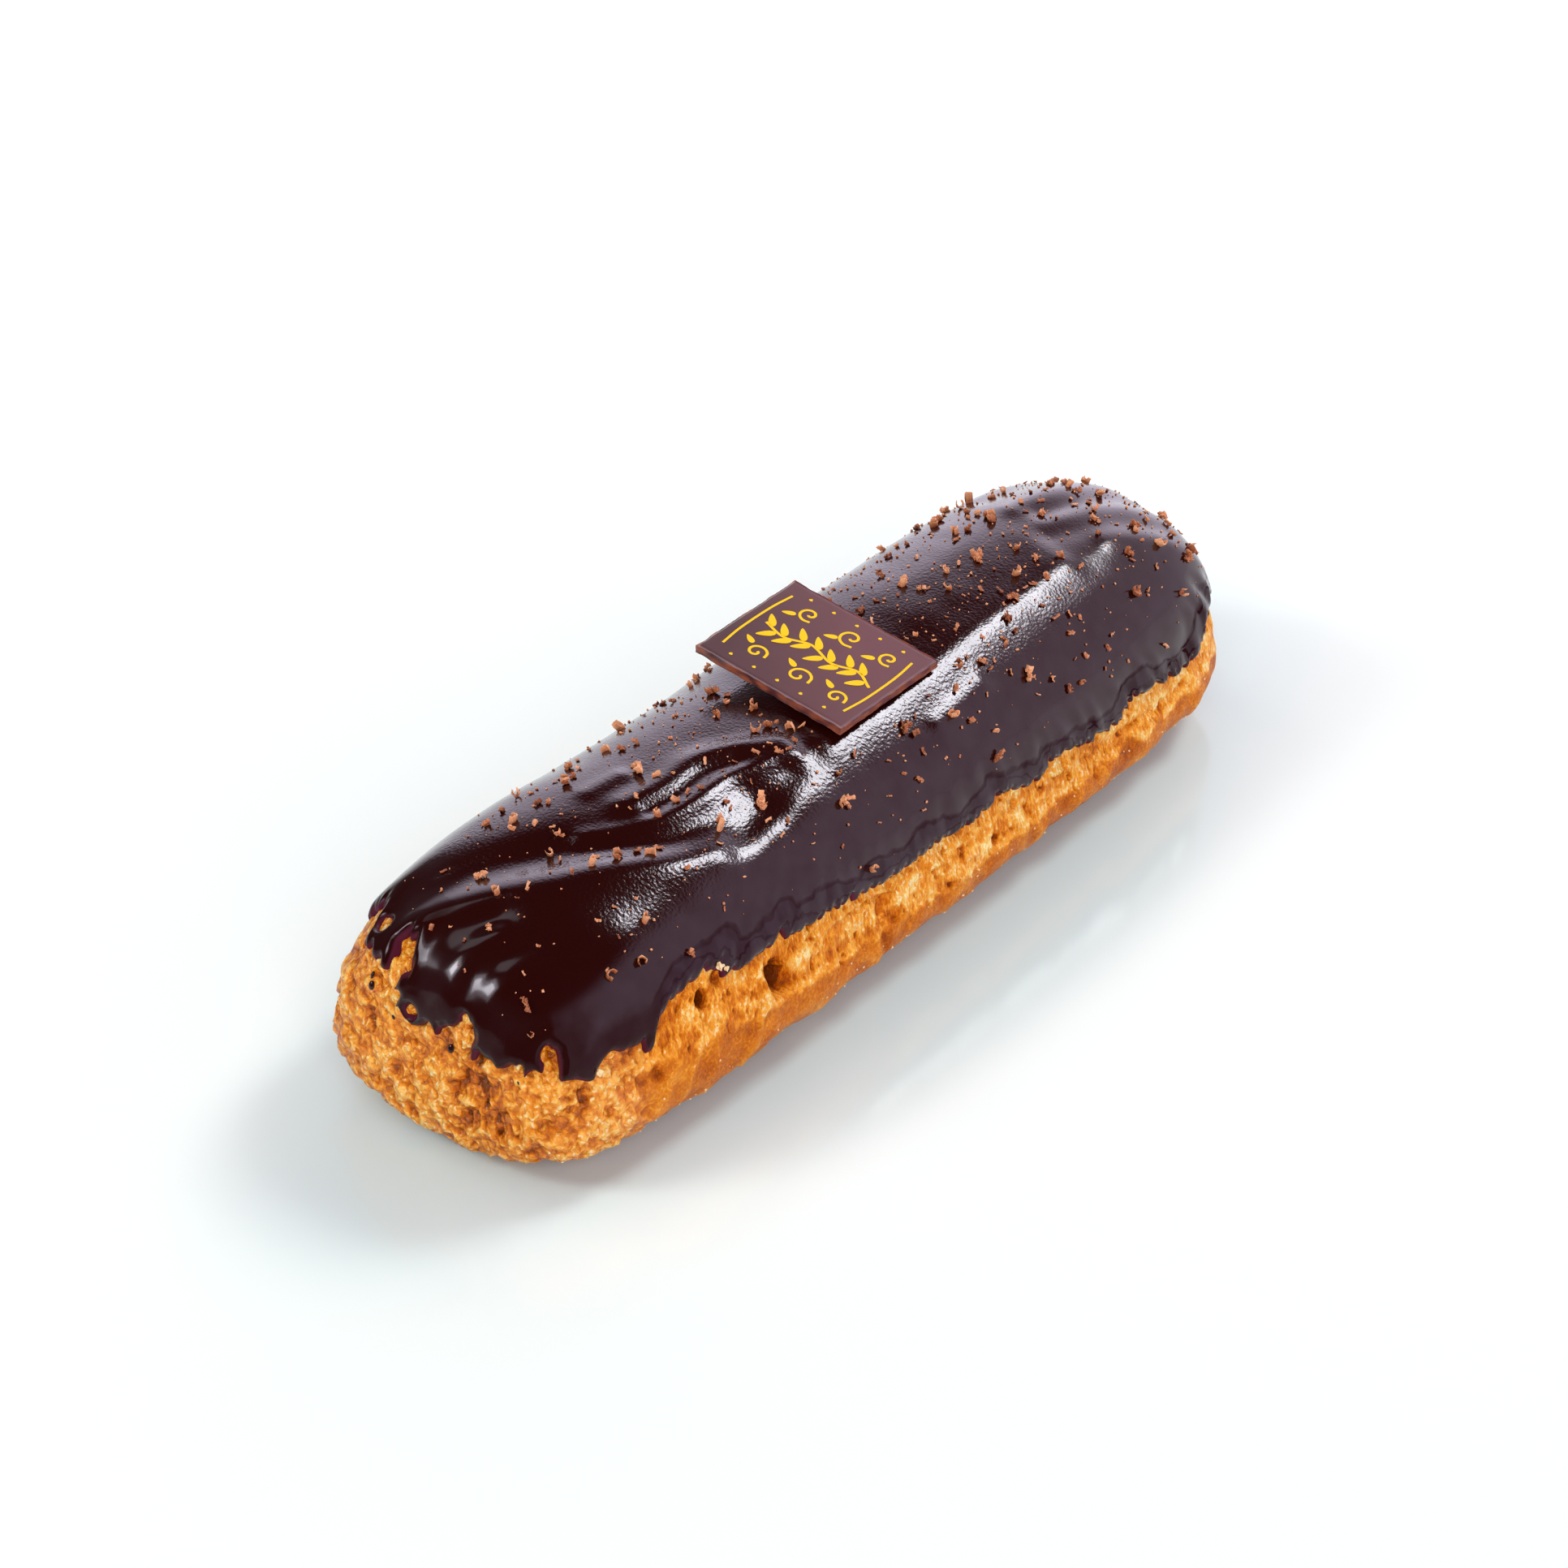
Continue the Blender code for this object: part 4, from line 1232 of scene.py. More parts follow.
# %% [markdown]
# The coat is a sheet without thickness so far. A skirt from its rim goes inwards to the shell,
# so that no gap shows under the bead.
# %% Skirt under the rim
boundary = [edge for edge in bm.edges if edge.is_boundary]
skirt = bmesh.ops.extrude_edge_only(bm, edges=boundary)["geom"]
for vertex in skirt:
    if isinstance(vertex, bmesh.types.BMVert):
        inward = Vector((-vertex.co.x * SKIRT_TURN, -vertex.co.y, 0.0))
        inward.normalize()
        vertex.co += inward * SKIRT_DEPTH
bmesh.ops.recalc_face_normals(bm, faces=bm.faces)
bmesh.ops.scale(bm, vec=(MM, MM, MM), verts=bm.verts)
shade_smooth(bm)
print("rim edges of the glaze:", len(boundary))

# %% [markdown]
# ## Chocolate
# Set glaze is a smooth, nearly black brown, and its mirror image is a little mauve. A fine ripple breaks
# the glints into sparks, most of all round the plaque. Faint steps follow the edge where one run of
# chocolate stopped on another, and the thin rim is a dark purple. The band of the last run is duller and
# painted plum, a painted reflection of what it mirrors low down.
# %% Glaze material
GLAZE_BROWN = (0.018, 0.0018, 0.0014)
# Painted reflection: the plum colour of the last run's band.
LAST_RUN_PAINTED_REFLECTION = (0.021, 0.0045, 0.0075)
RIM_PURPLE = (0.085, 0.008, 0.024)
MIRROR_MAUVE = (1.0, 0.86, 1.0, 1.0)
GLAZE_ROUGHNESS = 0.13
GLAZE_IOR = 1.5


def wandering(tree, edge, size_mm, amount):
    """The distance to the rim with noise added, so that lines of equal distance wander."""
    return add(tree, edge, multiply(tree, grain(tree, size_mm, 3.0), amount))


def make_glaze_material():
    material, sockets = new_material("chocolate_glaze", GLAZE_BROWN, GLAZE_ROUGHNESS)
    sockets["IOR"].default_value = GLAZE_IOR
    sockets["Specular Tint"].default_value = MIRROR_MAUVE
    tree = material.node_tree
    edge = kept(tree, "rim")
    x, z = axis(tree, "X"), axis(tree, "Z")
    on_side = fade(tree, x, -58, -50)
    place = wandering(tree, edge, 7.0, 5.0)
    older = wandering(tree, edge, 5.0, 6.0)
    last_run = multiply(tree, fade(tree, place, 6.2, 5.3), on_side)
    step_line = multiply(tree, fade(tree, place, 6.1, 5.8), fade(tree, place, 5.2, 5.5))
    older_line = multiply(tree, fade(tree, older, 4.9, 4.7), fade(tree, older, 4.3, 4.6))
    lines = multiply(tree, calculate(tree, "MAXIMUM", step_line, older_line), on_side)
    under_lobes = multiply(tree, fade(tree, place, 7.0, 4.5), subtract(tree, 1.0, on_side))
    streaks = fade(tree, grain(tree, 2.4, 1.0, (1.0, 1.0, 4.0)), 0.40, 0.62, 0.6, 1.3)
    dull = multiply(tree, multiply(tree, last_run, streaks), fade(tree, x, 0, 50, 0.20, 0.29))
    dull = add(tree, dull, multiply(tree, lines, 0.16))
    dull = add(tree, dull, multiply(tree, under_lobes, 0.32))
    mottle = multiply(tree, subtract(tree, grain(tree, 3.6, 2.0), 0.5), 0.35)
    shine = subtract(tree, add(tree, mottle, 0.5), dull)
    tree.links.new(shine, sockets["Specular IOR Level"])
    # The last run's band is painted plum, a painted reflection.
    colour = mix_colour(tree, last_run, GLAZE_BROWN, LAST_RUN_PAINTED_REFLECTION)
    colour = mix_colour(tree, fade(tree, edge, 0.6, 0.05), colour, RIM_PURPLE)
    tree.links.new(colour, sockets["Base Color"])
    tree.links.new(fade(tree, edge, 0.7, 0.1, GLAZE_ROUGHNESS, 0.5), sockets["Roughness"])
    along_share = multiply(tree, fade(tree, x, -64, -52), fade(tree, x, 60, 15, 0.35, 1.0))
    ripple_share = multiply(tree, fade(tree, z, 24, 30), along_share)
    ripple = multiply(tree, grain(tree, 0.42, 1.0, roughness=0.4), ripple_share)
    normal = bump(tree, last_run, 0.05, bump(tree, ripple, 0.042))
    tree.links.new(normal, sockets["Normal"])
    return material


glaze = finish_piece("glaze_coat", bm, make_glaze_material(), "chocolate_glaze")

# %% [markdown]
# ## Plaque
# The plaque is a square of tempered chocolate, broken from a thin sheet, so its edges are rough
# and paler. It stands for the plain slab of the same size and lies exactly where that one lies.
# %% Plaque
PLAQUE_LENGTH = 20.5
PLAQUE_WIDTH = 23.4
PLAQUE_THICKNESS = 1.1
PLAQUE_DARK = (0.058, 0.013, 0.014)
# The paler end of the plaque's painted light, also used for its random clouding.
PLAQUE_LIT_AND_CLOUDED = (0.130, 0.034, 0.040)
PLAQUE_BROKEN = (0.26, 0.060, 0.028)
PLAQUE_TILT = math.radians(8.5)
PLAQUE_TURN = math.radians(1.0)
PLAQUE_CUTS = 46
PLAQUE_RIM = 0.6
RIM_ROUNDING = 0.05
plaque_low, plaque_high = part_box("chocolate_plaque")
plaque_centre = (Vector(plaque_low) + Vector(plaque_high)) / 2.0
plaque_place = (
    Matrix.Translation(plaque_centre)
    @ Matrix.Rotation(PLAQUE_TURN, 4, "Z")
    @ Matrix.Rotation(PLAQUE_TILT, 4, "X")
    @ Matrix.Scale(MM, 4)
)


def make_plaque():
    bm = bmesh.new()
    bmesh.ops.create_cube(bm, size=1.0)
    size = Matrix.Diagonal((PLAQUE_LENGTH, PLAQUE_WIDTH, PLAQUE_THICKNESS, 1.0))
    bmesh.ops.transform(bm, matrix=size, verts=bm.verts)
    bmesh.ops.subdivide_edges(bm, edges=bm.edges[:], cuts=PLAQUE_CUTS, use_grid_fill=True)
    broken = bm.verts.layers.float.new("broken")
    rim_x, rim_y = PLAQUE_LENGTH / 2 - PLAQUE_RIM, PLAQUE_WIDTH / 2 - PLAQUE_RIM
    for vertex in bm.verts:
        x, y, z = vertex.co
        to_side = min(PLAQUE_LENGTH / 2 - abs(x), PLAQUE_WIDTH / 2 - abs(y))
        if to_side < PLAQUE_RIM:
            near = 1.0 - to_side / PLAQUE_RIM
            rough = noise.fractal(Vector((x, y, z * 1.5)) / 1.8, 0.7, 2.0, 3) * 0.14 - 0.08
            away = Vector((x if abs(x) > rim_x else 0.0, y if abs(y) > rim_y else 0.0, 0.0))
            vertex.co += away.normalized() * rough * near
            if abs(z) > PLAQUE_THICKNESS * 0.49:
                vertex.co.z -= math.copysign(RIM_ROUNDING * near**3, z)
            vertex[broken] = near * (0.9 + 0.8 * noise.noise(Vector((x, y, 2.0 * z)) / 1.7))
    bmesh.ops.transform(bm, matrix=plaque_place, verts=bm.verts)
    shade_smooth(bm)
    return bm


def make_plaque_material():
    material, sockets = new_material("tempered_chocolate", (0.11, 0.036, 0.03), 0.36)
    tree = material.node_tree
    # Painted light: the top is painted paler from one corner to the opposite one, with a random cloud of
    # paler chocolate over it.
    painted_light_across = fade(tree, subtract(tree, axis(tree, "X"), axis(tree, "Y")), -22, 22)
    painted_light_and_cloud = add(tree, painted_light_across, multiply(tree, grain(tree, 6.0, 3.0), 0.3))
    colour = colour_ramp(tree, painted_light_and_cloud, ((0.1, PLAQUE_DARK), (1.0, PLAQUE_LIT_AND_CLOUDED)))
    broken_share = fade(tree, kept(tree, "broken"), 0.45, 1.2)
    colour = mix_colour(tree, broken_share, colour, PLAQUE_BROKEN)
    tree.links.new(colour, sockets["Base Color"])
    tree.links.new(bump(tree, grain(tree, 5.0, 2.0), 0.03), sockets["Normal"])
    return material


finish_piece("plaque_slab", make_plaque(), make_plaque_material(), "chocolate_plaque")

# %% [markdown]
# ## Golden print
# The plaque carries a golden pattern, printed as a thin raised film: a border line, a branch
# with leaves and scrolls, and dots. Every line is a ribbon, a grid one face wide that is moved on
# to a curve, and every leaf and dot is a filled circle that is stretched and turned.
# %% Ribbons, leaves and scrolls
PRINT_LIFT = PLAQUE_THICKNESS / 2 + 0.012
PRINT_THICKNESS = 0.035
LEAF_CORNERS = 14
LEAF_POINT = 0.9


def ribbon(bm, points, width):
    """A flat ribbon of a given width along a smooth curve through points."""
    curve = smooth_line(points, 8)
    slopes = np.gradient(curve, axis=0)
    sides = np.stack([-slopes[:, 1], slopes[:, 0]], axis=1)
    sides *= width / 2 / np.linalg.norm(sides, axis=1)[:, None]
    last = len(curve) - 1
    made = bmesh.ops.create_grid(bm, x_segments=last, y_segments=1, size=1.0)["verts"]
    for vertex in made:
        index = round((vertex.co.x + 1.0) / 2.0 * last)
        side = math.copysign(1.0, vertex.co.y)
        vertex.co = (*(curve[index] + side * sides[index]), PRINT_LIFT)


def leaf(bm, x, y, length, width, turn):
    made = bmesh.ops.create_circle(bm, cap_ends=True, segments=LEAF_CORNERS, radius=0.5)["verts"]
    for vertex in made:
        vertex.co.y *= 1.0 - LEAF_POINT * vertex.co.x
    matrix = Matrix.Translation((x, y, PRINT_LIFT)) @ Matrix.Rotation(turn, 4, "Z")
    bmesh.ops.transform(bm, matrix=matrix @ Matrix.Diagonal((length, width, 1.0, 1.0)), verts=made)


def scroll(bm, x, y, radius, start, turns, width):
    """A small spiral that opens outwards."""
    shares = np.linspace(0.12, 1.0, 12)
    angles = start + shares * turns * 2 * math.pi
    points = np.stack([np.cos(angles), np.sin(angles)], axis=1) * radius * shares[:, None]
    ribbon(bm, points + (x, y), width)


print("print lies above the middle of the plaque, mm:", round(PRINT_LIFT, 2))

# %% [markdown]
# The pattern is drawn flat, in mm from the middle of the plaque: the stem up the middle, a
# column of scrolls and a row of dots on each side of it, and a curved line above and below.
# %% Golden print
PRINT_GOLD = (0.90, 0.50, 0.006)
STEM = ((-1.0, -9.0), (0.6, -6.0), (-0.5, -2.5), (0.7, 1.5), (-0.6, 5.0), (0.3, 8.6))
STEM_WIDTH = 0.4
SCROLLS = ((-7.2, 1.5), (-1.2, 1.9), (5.6, 1.6))
SCROLL_COLUMN = 5.6
SCROLL_TURNS = 1.35
SCROLL_WIDTH = 0.38
DOT_COLUMN = 8.3
DOT_SIZE = 0.5
BORDER = ((-7.2, 9.7), (-3.0, 10.1), (3.0, 10.1), (7.2, 9.7))
BORDER_WIDTH = 0.34


def draw_stem(bm):
    ribbon(bm, STEM, STEM_WIDTH)
    for index, (x, y) in enumerate(smooth_line(STEM, 3)[1:-1]):
        side = 1.0 if index % 2 else -1.0
        leaf(bm, x + side * 1.25, y + 0.9, 2.7, 1.0, math.pi / 2 - side * 0.85)


def draw_side_columns(bm, side):
    for y, radius in SCROLLS:
        start = math.pi / 2 if side > 0 else 0.4
        scroll(bm, side * SCROLL_COLUMN, y, radius, start, side * SCROLL_TURNS, SCROLL_WIDTH)
        leaf(bm, side * 4.0, y + 2.2, 1.9, 0.8, math.pi / 2 + side * 0.5)
    for y in np.linspace(-7.5, 7.5, 5):
        leaf(bm, side * DOT_COLUMN, y, DOT_SIZE, DOT_SIZE, 0.0)


def make_print():
    bm = bmesh.new()
    draw_stem(bm)
    for side in (-1.0, 1.0):
        draw_side_columns(bm, side)
        ribbon(bm, [(x, side * y) for x, y in BORDER], BORDER_WIDTH)
    bmesh.ops.recalc_face_normals(bm, faces=bm.faces)
    bmesh.ops.solidify(bm, geom=bm.faces[:], thickness=PRINT_THICKNESS)
    bmesh.ops.transform(bm, matrix=plaque_place, verts=bm.verts)
    bmesh.ops.recalc_face_normals(bm, faces=bm.faces)
    return bm


gold, gold_sockets = new_material("golden_print", PRINT_GOLD, 0.6)
gold_sockets["Specular IOR Level"].default_value = 0.15
finish_piece("plaque_print", make_print(), gold, "chocolate_plaque")

# %% [markdown]
# ## Crumbs
# Grated chocolate falls as jagged clumps of flakes, curled shavings, chips and dust. A few
# shapes of each kind are made once, from bent strips and rough balls of a few dozen faces, and
# copied with a new size, turn and place. All copies of one kind are joined into one piece.
# %% Parts of a crumb
CRUMB_SEED = 21
draw = random.Random(CRUMB_SEED)


def add_flake(bm, width, bend, thickness, rows):
    """A thin flake about 1 long with torn sides, bent along its length."""
    start = len(bm.verts)
    made = bmesh.ops.create_grid(bm, x_segments=rows, y_segments=2, size=0.5)["verts"]
    for vertex in made:
        x, y, _ = vertex.co
        turn = x * bend
        torn = width * draw.uniform(0.7, 1.3)
        vertex.co = (math.sin(turn) / bend, y * torn, (1.0 - math.cos(turn)) / bend)
        vertex.co += Vector([draw.uniform(-0.05, 0.05) for _ in range(3)])
    faces = list({face for vertex in made for face in vertex.link_faces})
    bmesh.ops.solidify(bm, geom=faces, thickness=thickness)
    bm.verts.ensure_lookup_table()
    return bm.verts[start:]


def add_ball(bm, radius):
    """A crumpled ball of few faces, for the smallest grains."""
    made = bmesh.ops.create_icosphere(bm, subdivisions=1, radius=radius)["verts"]
    for vertex in made:
        vertex.co *= draw.uniform(0.5, 1.5)
    return made


def add_nugget(bm, radius):
    """A rough grain: a ball with a few hollows and corners."""
    made = bmesh.ops.create_icosphere(bm, subdivisions=2, radius=radius)["verts"]
    start = Vector((draw.uniform(-50.0, 50.0), 0.0, 0.0))
    for vertex in made:
        swell = noise.noise(vertex.co.normalized() * 1.5 + start)
        vertex.co *= 1.0 + 1.1 * swell + draw.uniform(-0.14, 0.14)
    return made


def tumble(bm, made, reach, tilt):
    """Turn and move one part of a crumb at random."""
    turn = Matrix.Rotation(draw.uniform(0.0, 2 * math.pi), 4, "Z")
    turn = turn @ Matrix.Rotation(draw.uniform(-tilt, tilt), 4, "X")
    spot = Vector((draw.uniform(-reach, reach), draw.uniform(-reach, reach), draw.uniform(-0.06, 0.16)))
    bmesh.ops.transform(bm, matrix=Matrix.Translation(spot) @ turn, verts=made)


print("parts of crumbs: flake, ball, nugget")

# %% [markdown]
# Clumps are grains in a bent row with flakes stuck to them, curls are long flakes rolled up,
# chips are short stiff flakes, and specks are single small grains. Each is about 1 long.
# %% Whole crumbs
def finish_shape(bm):
    bmesh.ops.recalc_face_normals(bm, faces=bm.faces)
    mesh = bpy.data.meshes.new("crumb_shape")
    bm.to_mesh(mesh)
    bm.free()
    return mesh


def clump_shape(flakes, nuggets):
    """Grains in a bent row with curled flakes stuck to them."""
    bm = bmesh.new()
    bend = draw.uniform(-1.2, 1.2)
    for index in range(nuggets):
        share = (index + 0.5) / nuggets - 0.5
        made = add_nugget(bm, draw.uniform(0.13, 0.22))
        bmesh.ops.scale(bm, vec=(1.0, draw.uniform(0.6, 1.0), draw.uniform(0.7, 1.2)), verts=made)
        place = (share * 0.8, bend * (share * share - 0.05), draw.uniform(0.0, 0.12))
        bmesh.ops.translate(bm, vec=place, verts=made)
    for _ in range(flakes):
        made = add_flake(bm, draw.uniform(0.22, 0.42), draw.uniform(1.6, 3.6), 0.08, 5)
        bmesh.ops.scale(bm, vec=(0.7, 0.7, 0.9), verts=made)
        tumble(bm, made, 0.28, 1.3)
    return finish_shape(bm)


def curl_shape():
    """One shaving that curled up under the grater."""
    bm = bmesh.new()
    made = add_flake(bm, draw.uniform(0.35, 0.6), draw.uniform(3.0, 5.2), 0.08, 9)
    roll = Matrix.Rotation(draw.choice((0.0, 0.5, 1.2, 1.5)), 3, "X")
    bmesh.ops.rotate(bm, verts=made, matrix=roll)
    bmesh.ops.scale(bm, vec=(1.6, 1.3, 1.6), verts=made)
    return finish_shape(bm)


def chip_shape():
    """A short stiff flake, sometimes with a grain stuck to it."""
    bm = bmesh.new()
    made = add_flake(bm, draw.uniform(0.3, 0.7), draw.uniform(0.5, 2.4), 0.14, 3)
    tumble(bm, made, 0.05, 0.9)
    if draw.random() < 0.5:
        tumble(bm, add_ball(bm, 0.2), 0.25, 1.0)
    return finish_shape(bm)


def speck_shape():
    bm = bmesh.new()
    add_ball(bm, 0.42)
    return finish_shape(bm)


clump_shapes = [clump_shape(draw.choice((1, 2, 2)), draw.choice((2, 3, 4))) for _ in range(12)]
curl_shapes = [curl_shape() for _ in range(7)]
chip_shapes = [chip_shape() for _ in range(9)]
speck_shapes = [speck_shape() for _ in range(5)]
print("faces of the first clump:", len(clump_shapes[0].polygons))

# %% [markdown]
# The places are drawn at random on the glaze. Crumbs lie closer together towards the far end
# and round the plaque, and none lies under the plaque or off the edge of the glaze. The largest
# clumps take their places first, well apart from each other.
# %% Candidate places for crumbs
PLAQUE_GAP = 1.2
PLAQUE_MIDDLE = 1.2
EDGE_GAP = 1.6
LOWEST_CRUMB = 19.0
ABOVE_THE_LOBES = 27.0


def on_glaze(x, y):
    """Which places in the plan have glaze, with room to the edge, and aren't under the plaque."""
    z = crown_height(x, y, relief=False)
    field = np.full(len(x), FAR_INSIDE)
    low = z < ABOVE_THE_LOBES
    field[low] = above_edge(distance_round(x, y)[low], z[low])
    turned_x = (x - PLAQUE_MIDDLE) * math.cos(PLAQUE_TURN) + y * math.sin(PLAQUE_TURN)
    beside_x = np.abs(turned_x) >= PLAQUE_LENGTH / 2 + PLAQUE_GAP
    beside_y = np.abs(y) >= PLAQUE_WIDTH / 2 + PLAQUE_GAP
    return (field > EDGE_GAP) & (beside_x | beside_y) & (z > LOWEST_CRUMB)


def crumb_density(x, y, side):
    """How densely crumbs lie: more along the far half, fewer low on the sides, a heap at the plaque."""
    density = 0.35 + 0.65 * smooth_step(x, -55.0, 5.0)
    density = density * np.interp(side, (-0.9, -0.55, 0.5, 0.85), (0.45, 1.0, 1.0, 0.12))
    return density + 0.5 * np.exp(-(((x + 7.5) / 9.0) ** 2 + ((y + 9.0) / 5.0) ** 2))


CANDIDATES = 9000
DENSEST = 1.3
generator = np.random.default_rng(5)
candidate_x = generator.uniform(-0.965, 0.965, CANDIDATES) * HALF_LENGTH
candidate_side = generator.uniform(-0.985, 0.985, CANDIDATES)
candidate_y = candidate_side * half_width(candidate_x, candidate_side)
wanted = crumb_density(candidate_x, candidate_y, candidate_side)
dense_enough = generator.random(CANDIDATES) * DENSEST < wanted
kept_places = on_glaze(candidate_x, candidate_y) & dense_enough
candidates = list(zip(candidate_x[kept_places], candidate_y[kept_places]))
print("places for crumbs:", len(candidates))

# %% [markdown]
# Each kind of crumb then takes its places from that list, the largest kinds first. A place that
# is too near one already taken is left out, which keeps the crumbs from lying in each other.
# %% Places for each kind
def take_places(count, shortest, longest, power, gap):
    """Take candidate places that keep a gap to each other, each with a length drawn at random."""
    places = []
    while len(places) < count and candidates:
        x, y = candidates.pop()
        if all(math.hypot(x - px, y - py) > gap for px, py, _ in places):
            places.append((x, y, shortest + (longest - shortest) * draw.random() ** power))
    return places


large_clumps = take_places(30, 1.3, 2.5, 1.3, 6.0)
large_curls = take_places(9, 1.3, 1.9, 1.2, 5.0)
# Each kind: the name of its piece, its shapes, its places and how high it lies for its length.
CRUMB_KINDS = (
    ("crumb_clumps", clump_shapes, large_clumps + take_places(30, 1.2, 1.9, 1.5, 3.2), 0.14),
    ("crumb_curls", curl_shapes, large_curls + take_places(44, 0.9, 1.6, 1.2, 3.0), 0.16),
    ("crumb_chips", chip_shapes, take_places(230, 0.5, 1.2, 1.5, 1.4), 0.15),
    ("crumb_specks", speck_shapes, take_places(750, 0.16, 0.45, 1.8, 0.5), 0.25),
)
print("crumbs of each kind:", [len(places) for _, _, places, _ in CRUMB_KINDS])

# %% [markdown]
# Each crumb stands square to the glaze below it, then gets its own turn, tip and size. The paleness of
# each crumb is drawn at random too, and each crumb is painted paler towards its top and darker at its
# foot, a painted light and shade from above; both are kept on the mesh for the material.
# %% Scatter crumbs
SLOPE_STEP = 0.3
# The ramp turns the crumb tone, which holds painted light on the tops of the crumbs, into colour.
CRUMB_BROWNS = (
    (0.30, (0.10, 0.018, 0.007)),
    (0.60, (0.42, 0.118, 0.044)),
    (1.00, (0.82, 0.360, 0.185)),
)


def glaze_frames(x, y):
    """Points of the glaze and its upward directions at places in the plan."""
    run = 2 * SLOPE_STEP
    slope_x = (crown_height(x + SLOPE_STEP, y) - crown_height(x - SLOPE_STEP, y)) / run
    slope_y = (crown_height(x, y + SLOPE_STEP) - crown_height(x, y - SLOPE_STEP)) / run
    points = np.stack([x, y, crown_height(x, y)], axis=1)
    return points, np.stack([-slope_x, -slope_y, np.ones(len(x))], axis=1)


def crumb_matrix(point, direction, length, lift_share):
    """Place for one crumb: stretched, turned and tipped at random, then stood on the glaze."""
    stand = direction.to_track_quat("Z", "Y").to_matrix().to_4x4()
    turn = Matrix.Rotation(draw.uniform(0.0, 2 * math.pi), 4, "Z")
    turn = turn @ Matrix.Rotation(draw.uniform(-0.5, 0.5), 4, "Y")
    width, height = length * draw.uniform(0.75, 1.25), length * draw.uniform(0.8, 1.3)
    stretch = Matrix.Diagonal((length, width, height, 1.0))
    lift = Matrix.Translation((0.0, 0.0, length * lift_share))
    return Matrix.Scale(MM, 4) @ Matrix.Translation(point) @ stand @ lift @ turn @ stretch


def scatter(shapes, places, lift_share):
    """One mesh with a crumb at every place, each painted paler towards its top as painted light."""
    bm = bmesh.new()
    layer = bm.verts.layers.float.new("crumb_tone_and_top_light")
    points, directions = glaze_frames(*np.array(places)[:, :2].T)
    for point, direction, (_, _, length) in zip(points, directions, places):
        point, direction = Vector(point), Vector(direction)
        matrix = crumb_matrix(point, direction, length, lift_share)
        first = len(bm.verts)
        bm.from_mesh(draw.choice(shapes))
        bm.verts.ensure_lookup_table()
        added = bm.verts[first:]
        bmesh.ops.transform(bm, matrix=matrix, verts=added)
        tone = draw.random()
        for vertex in added:
            height = (vertex.co - point * MM).dot(direction.normalized()) / (length * MM)
            # Painted light and shade: a random tone plus paler towards the top of the crumb.
            vertex[layer] = 0.45 * tone + 0.75 * min(max(height, 0.0), 0.8)
    print("crumbs set down:", len(places))
    return bm


def make_crumb_material():
    material, sockets = new_material("grated_chocolate", (0.4, 0.16, 0.07), 0.6)
    tree = material.node_tree
    fine = grain(tree, 0.35)
    tone = add(tree, kept(tree, "crumb_tone_and_top_light"), multiply(tree, fine, 0.5))
    tree.links.new(colour_ramp(tree, tone, CRUMB_BROWNS), sockets["Base Color"])
    tree.links.new(bump(tree, fine, 0.08), sockets["Normal"])
    return material


crumb_material = make_crumb_material()
for name, shapes, places, lift_share in CRUMB_KINDS:
    finish_piece(name, scatter(shapes, places, lift_share), crumb_material, "chocolate_glaze")

# %% [markdown]
# ## Drops and pale crumbs
# A few drops of glaze fell on the near end, and pale crumbs of choux stick to the lower side and to the
# glaze's edge. Each drop and each small pale crumb is set on the nearest point of the finished crust.
# %% Drops of glaze
# Each drop and each pale crumb: a point near it and its radius.
GLAZE_DROPS = (
    (-71.1, 10.8, 20.5, 0.40), (-71.6, 10.3, 19.1, 0.45), (-72.4, -3.2, 16.2, 0.45),
    (-71.9, 6.4, 16.2, 0.28), (-70.6, -13.0, 15.0, 0.25), (72.0, -6.0, 15.0, 0.40),
)
DROP_SHAPE = (1.0, 1.3, 0.55, 1.0)
crust = BVHTree.FromObject(choux, bpy.context.evaluated_depsgraph_get())


def on_crust(x, y, z):
    """The nearest point of the crust and the direction out of it there."""
    point, direction, _, _ = crust.find_nearest(Vector((x, y, z)) * MM)
    return point / MM, direction


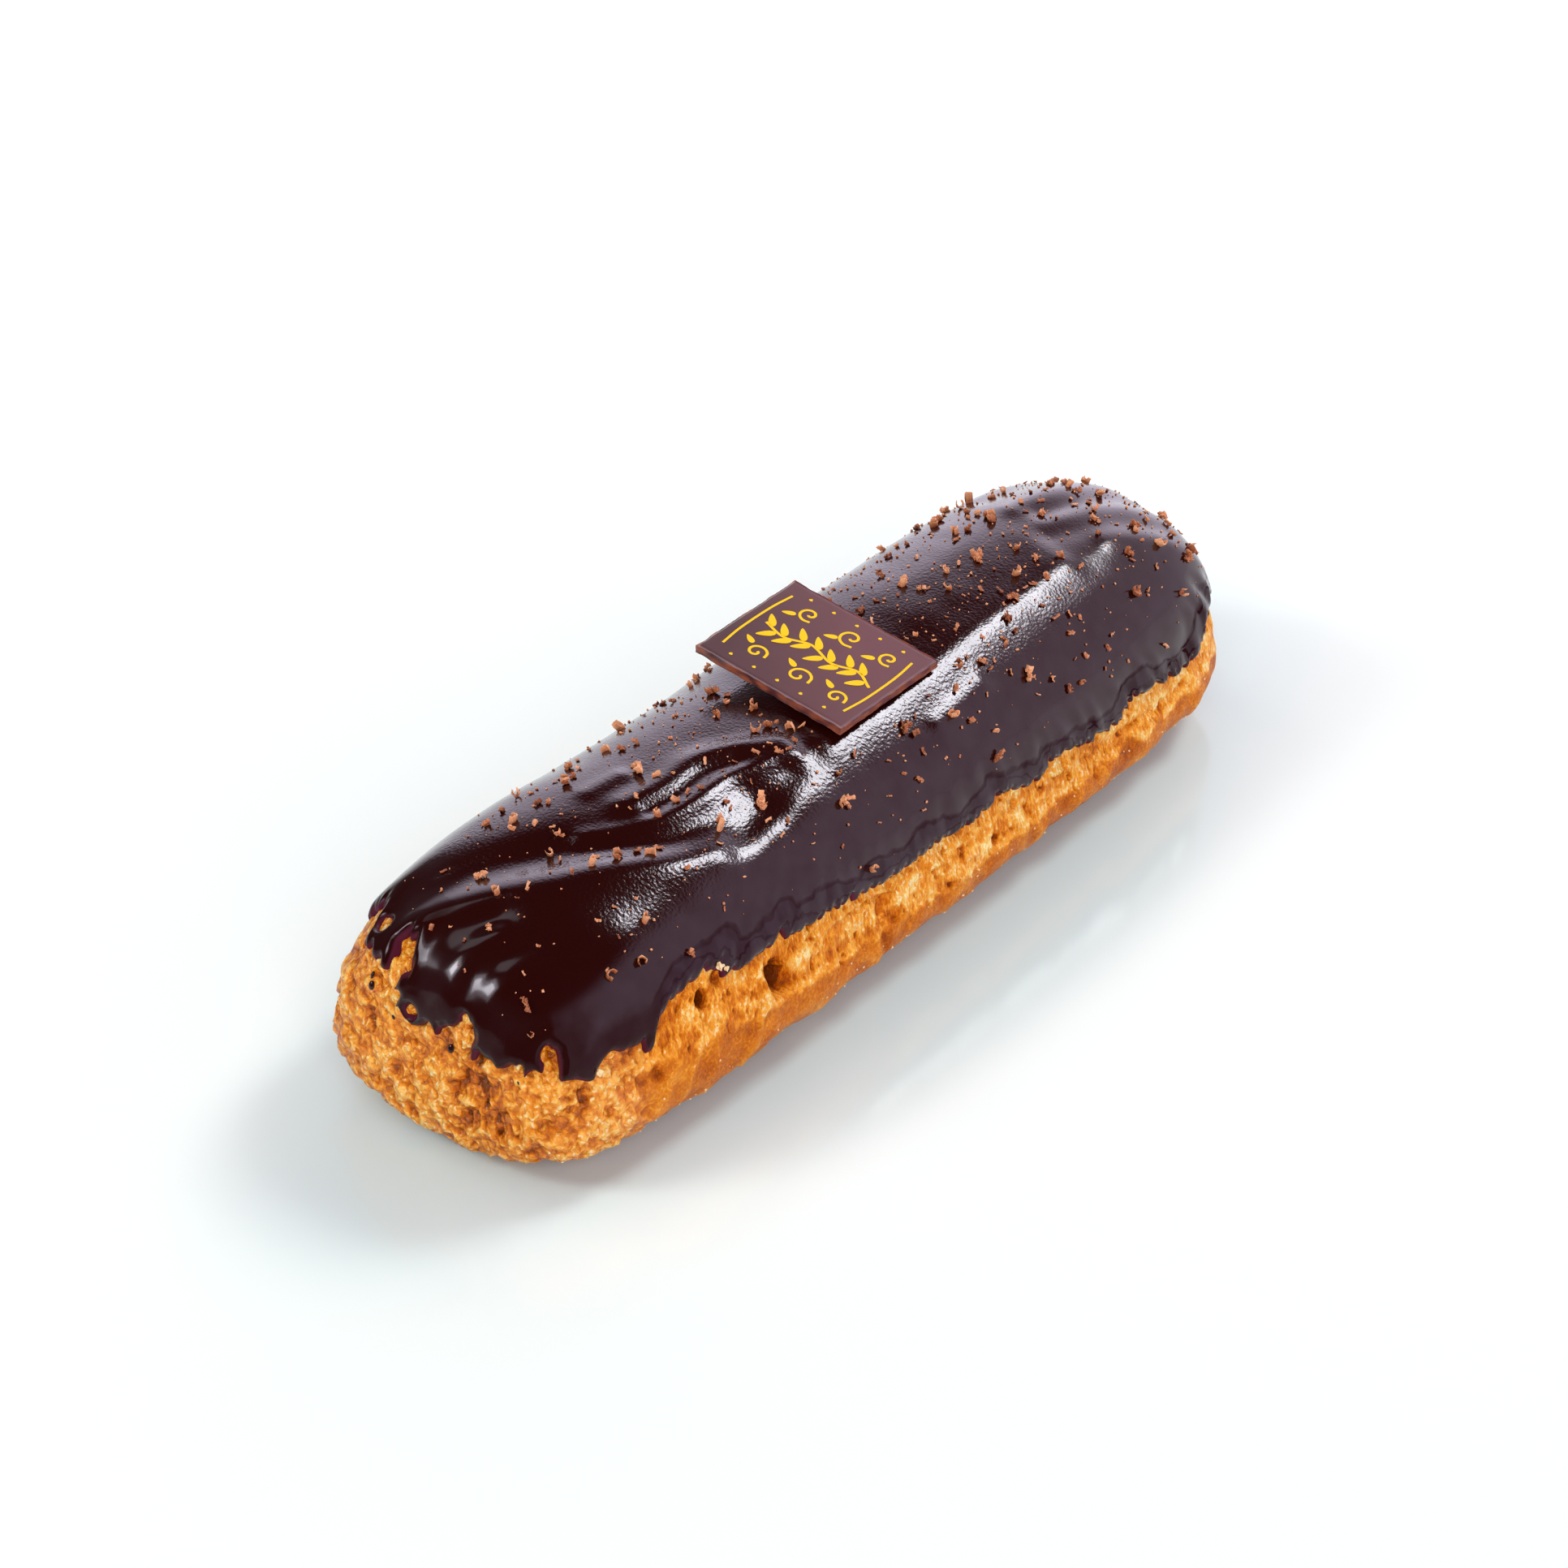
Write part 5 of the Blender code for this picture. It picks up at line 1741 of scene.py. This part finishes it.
def make_drops():
    """Flattened balls, which count as far inside the glaze so that they get no purple rim."""
    bm = bmesh.new()
    rim = bm.verts.layers.float.new("rim")
    for x, y, z, radius in GLAZE_DROPS:
        point, direction = on_crust(x, y, z)
        drop = bmesh.ops.create_uvsphere(bm, u_segments=14, v_segments=8, radius=radius)["verts"]
        stand = direction.to_track_quat("Z", "Y").to_matrix().to_4x4()
        place = Matrix.Translation(point) @ stand @ Matrix.Diagonal(DROP_SHAPE)
        bmesh.ops.transform(bm, matrix=place, verts=drop)
    for vertex in bm.verts:
        vertex[rim] = FAR_INSIDE
    shade_smooth(bm)
    bmesh.ops.scale(bm, vec=(MM, MM, MM), verts=bm.verts)
    return bm


finish_piece("glaze_drops", make_drops(), glaze.data.materials[0], "chocolate_glaze")

# %% [markdown]
# The pale crumbs broke off the crust. Three larger ones stick to the edge of the glaze, and
# small ones are sown at random along the foot of both sides, more of them on the right.
# %% Pale crumbs
PALE_CRUMBS = (
    (-43.7, -21.1, 20.6, 0.40), (-64.6, -20.2, 16.4, 0.32), (-43.0, -21.6, 20.0, 0.25),
)
PALE_CRUST = (0.90, 0.62, 0.34)
SPECK_COUNT = 150
SHARE_ON_RIGHT = 0.7
SPECK_LIFT = 0.03


def make_pale_crumbs():
    bm = bmesh.new()
    for *place, radius in PALE_CRUMBS:
        bmesh.ops.translate(bm, vec=place, verts=add_nugget(bm, radius))
    for _ in range(SPECK_COUNT):
        x = draw.uniform(-71.5, 70.0)
        side = -1.0 if draw.random() < SHARE_ON_RIGHT else 1.0
        y = side * float(half_width(x, side))
        point, direction = on_crust(x, y, draw.uniform(0.5, 9.0))
        made = add_ball(bm, draw.uniform(0.07, 0.17))
        bmesh.ops.translate(bm, vec=point + direction * SPECK_LIFT, verts=made)
    bmesh.ops.scale(bm, vec=(MM, MM, MM), verts=bm.verts)
    return bm


cream, _ = new_material("pale_crumb", PALE_CRUST, 0.5)
finish_piece("choux_specks", make_pale_crumbs(), cream, "choux_shell")
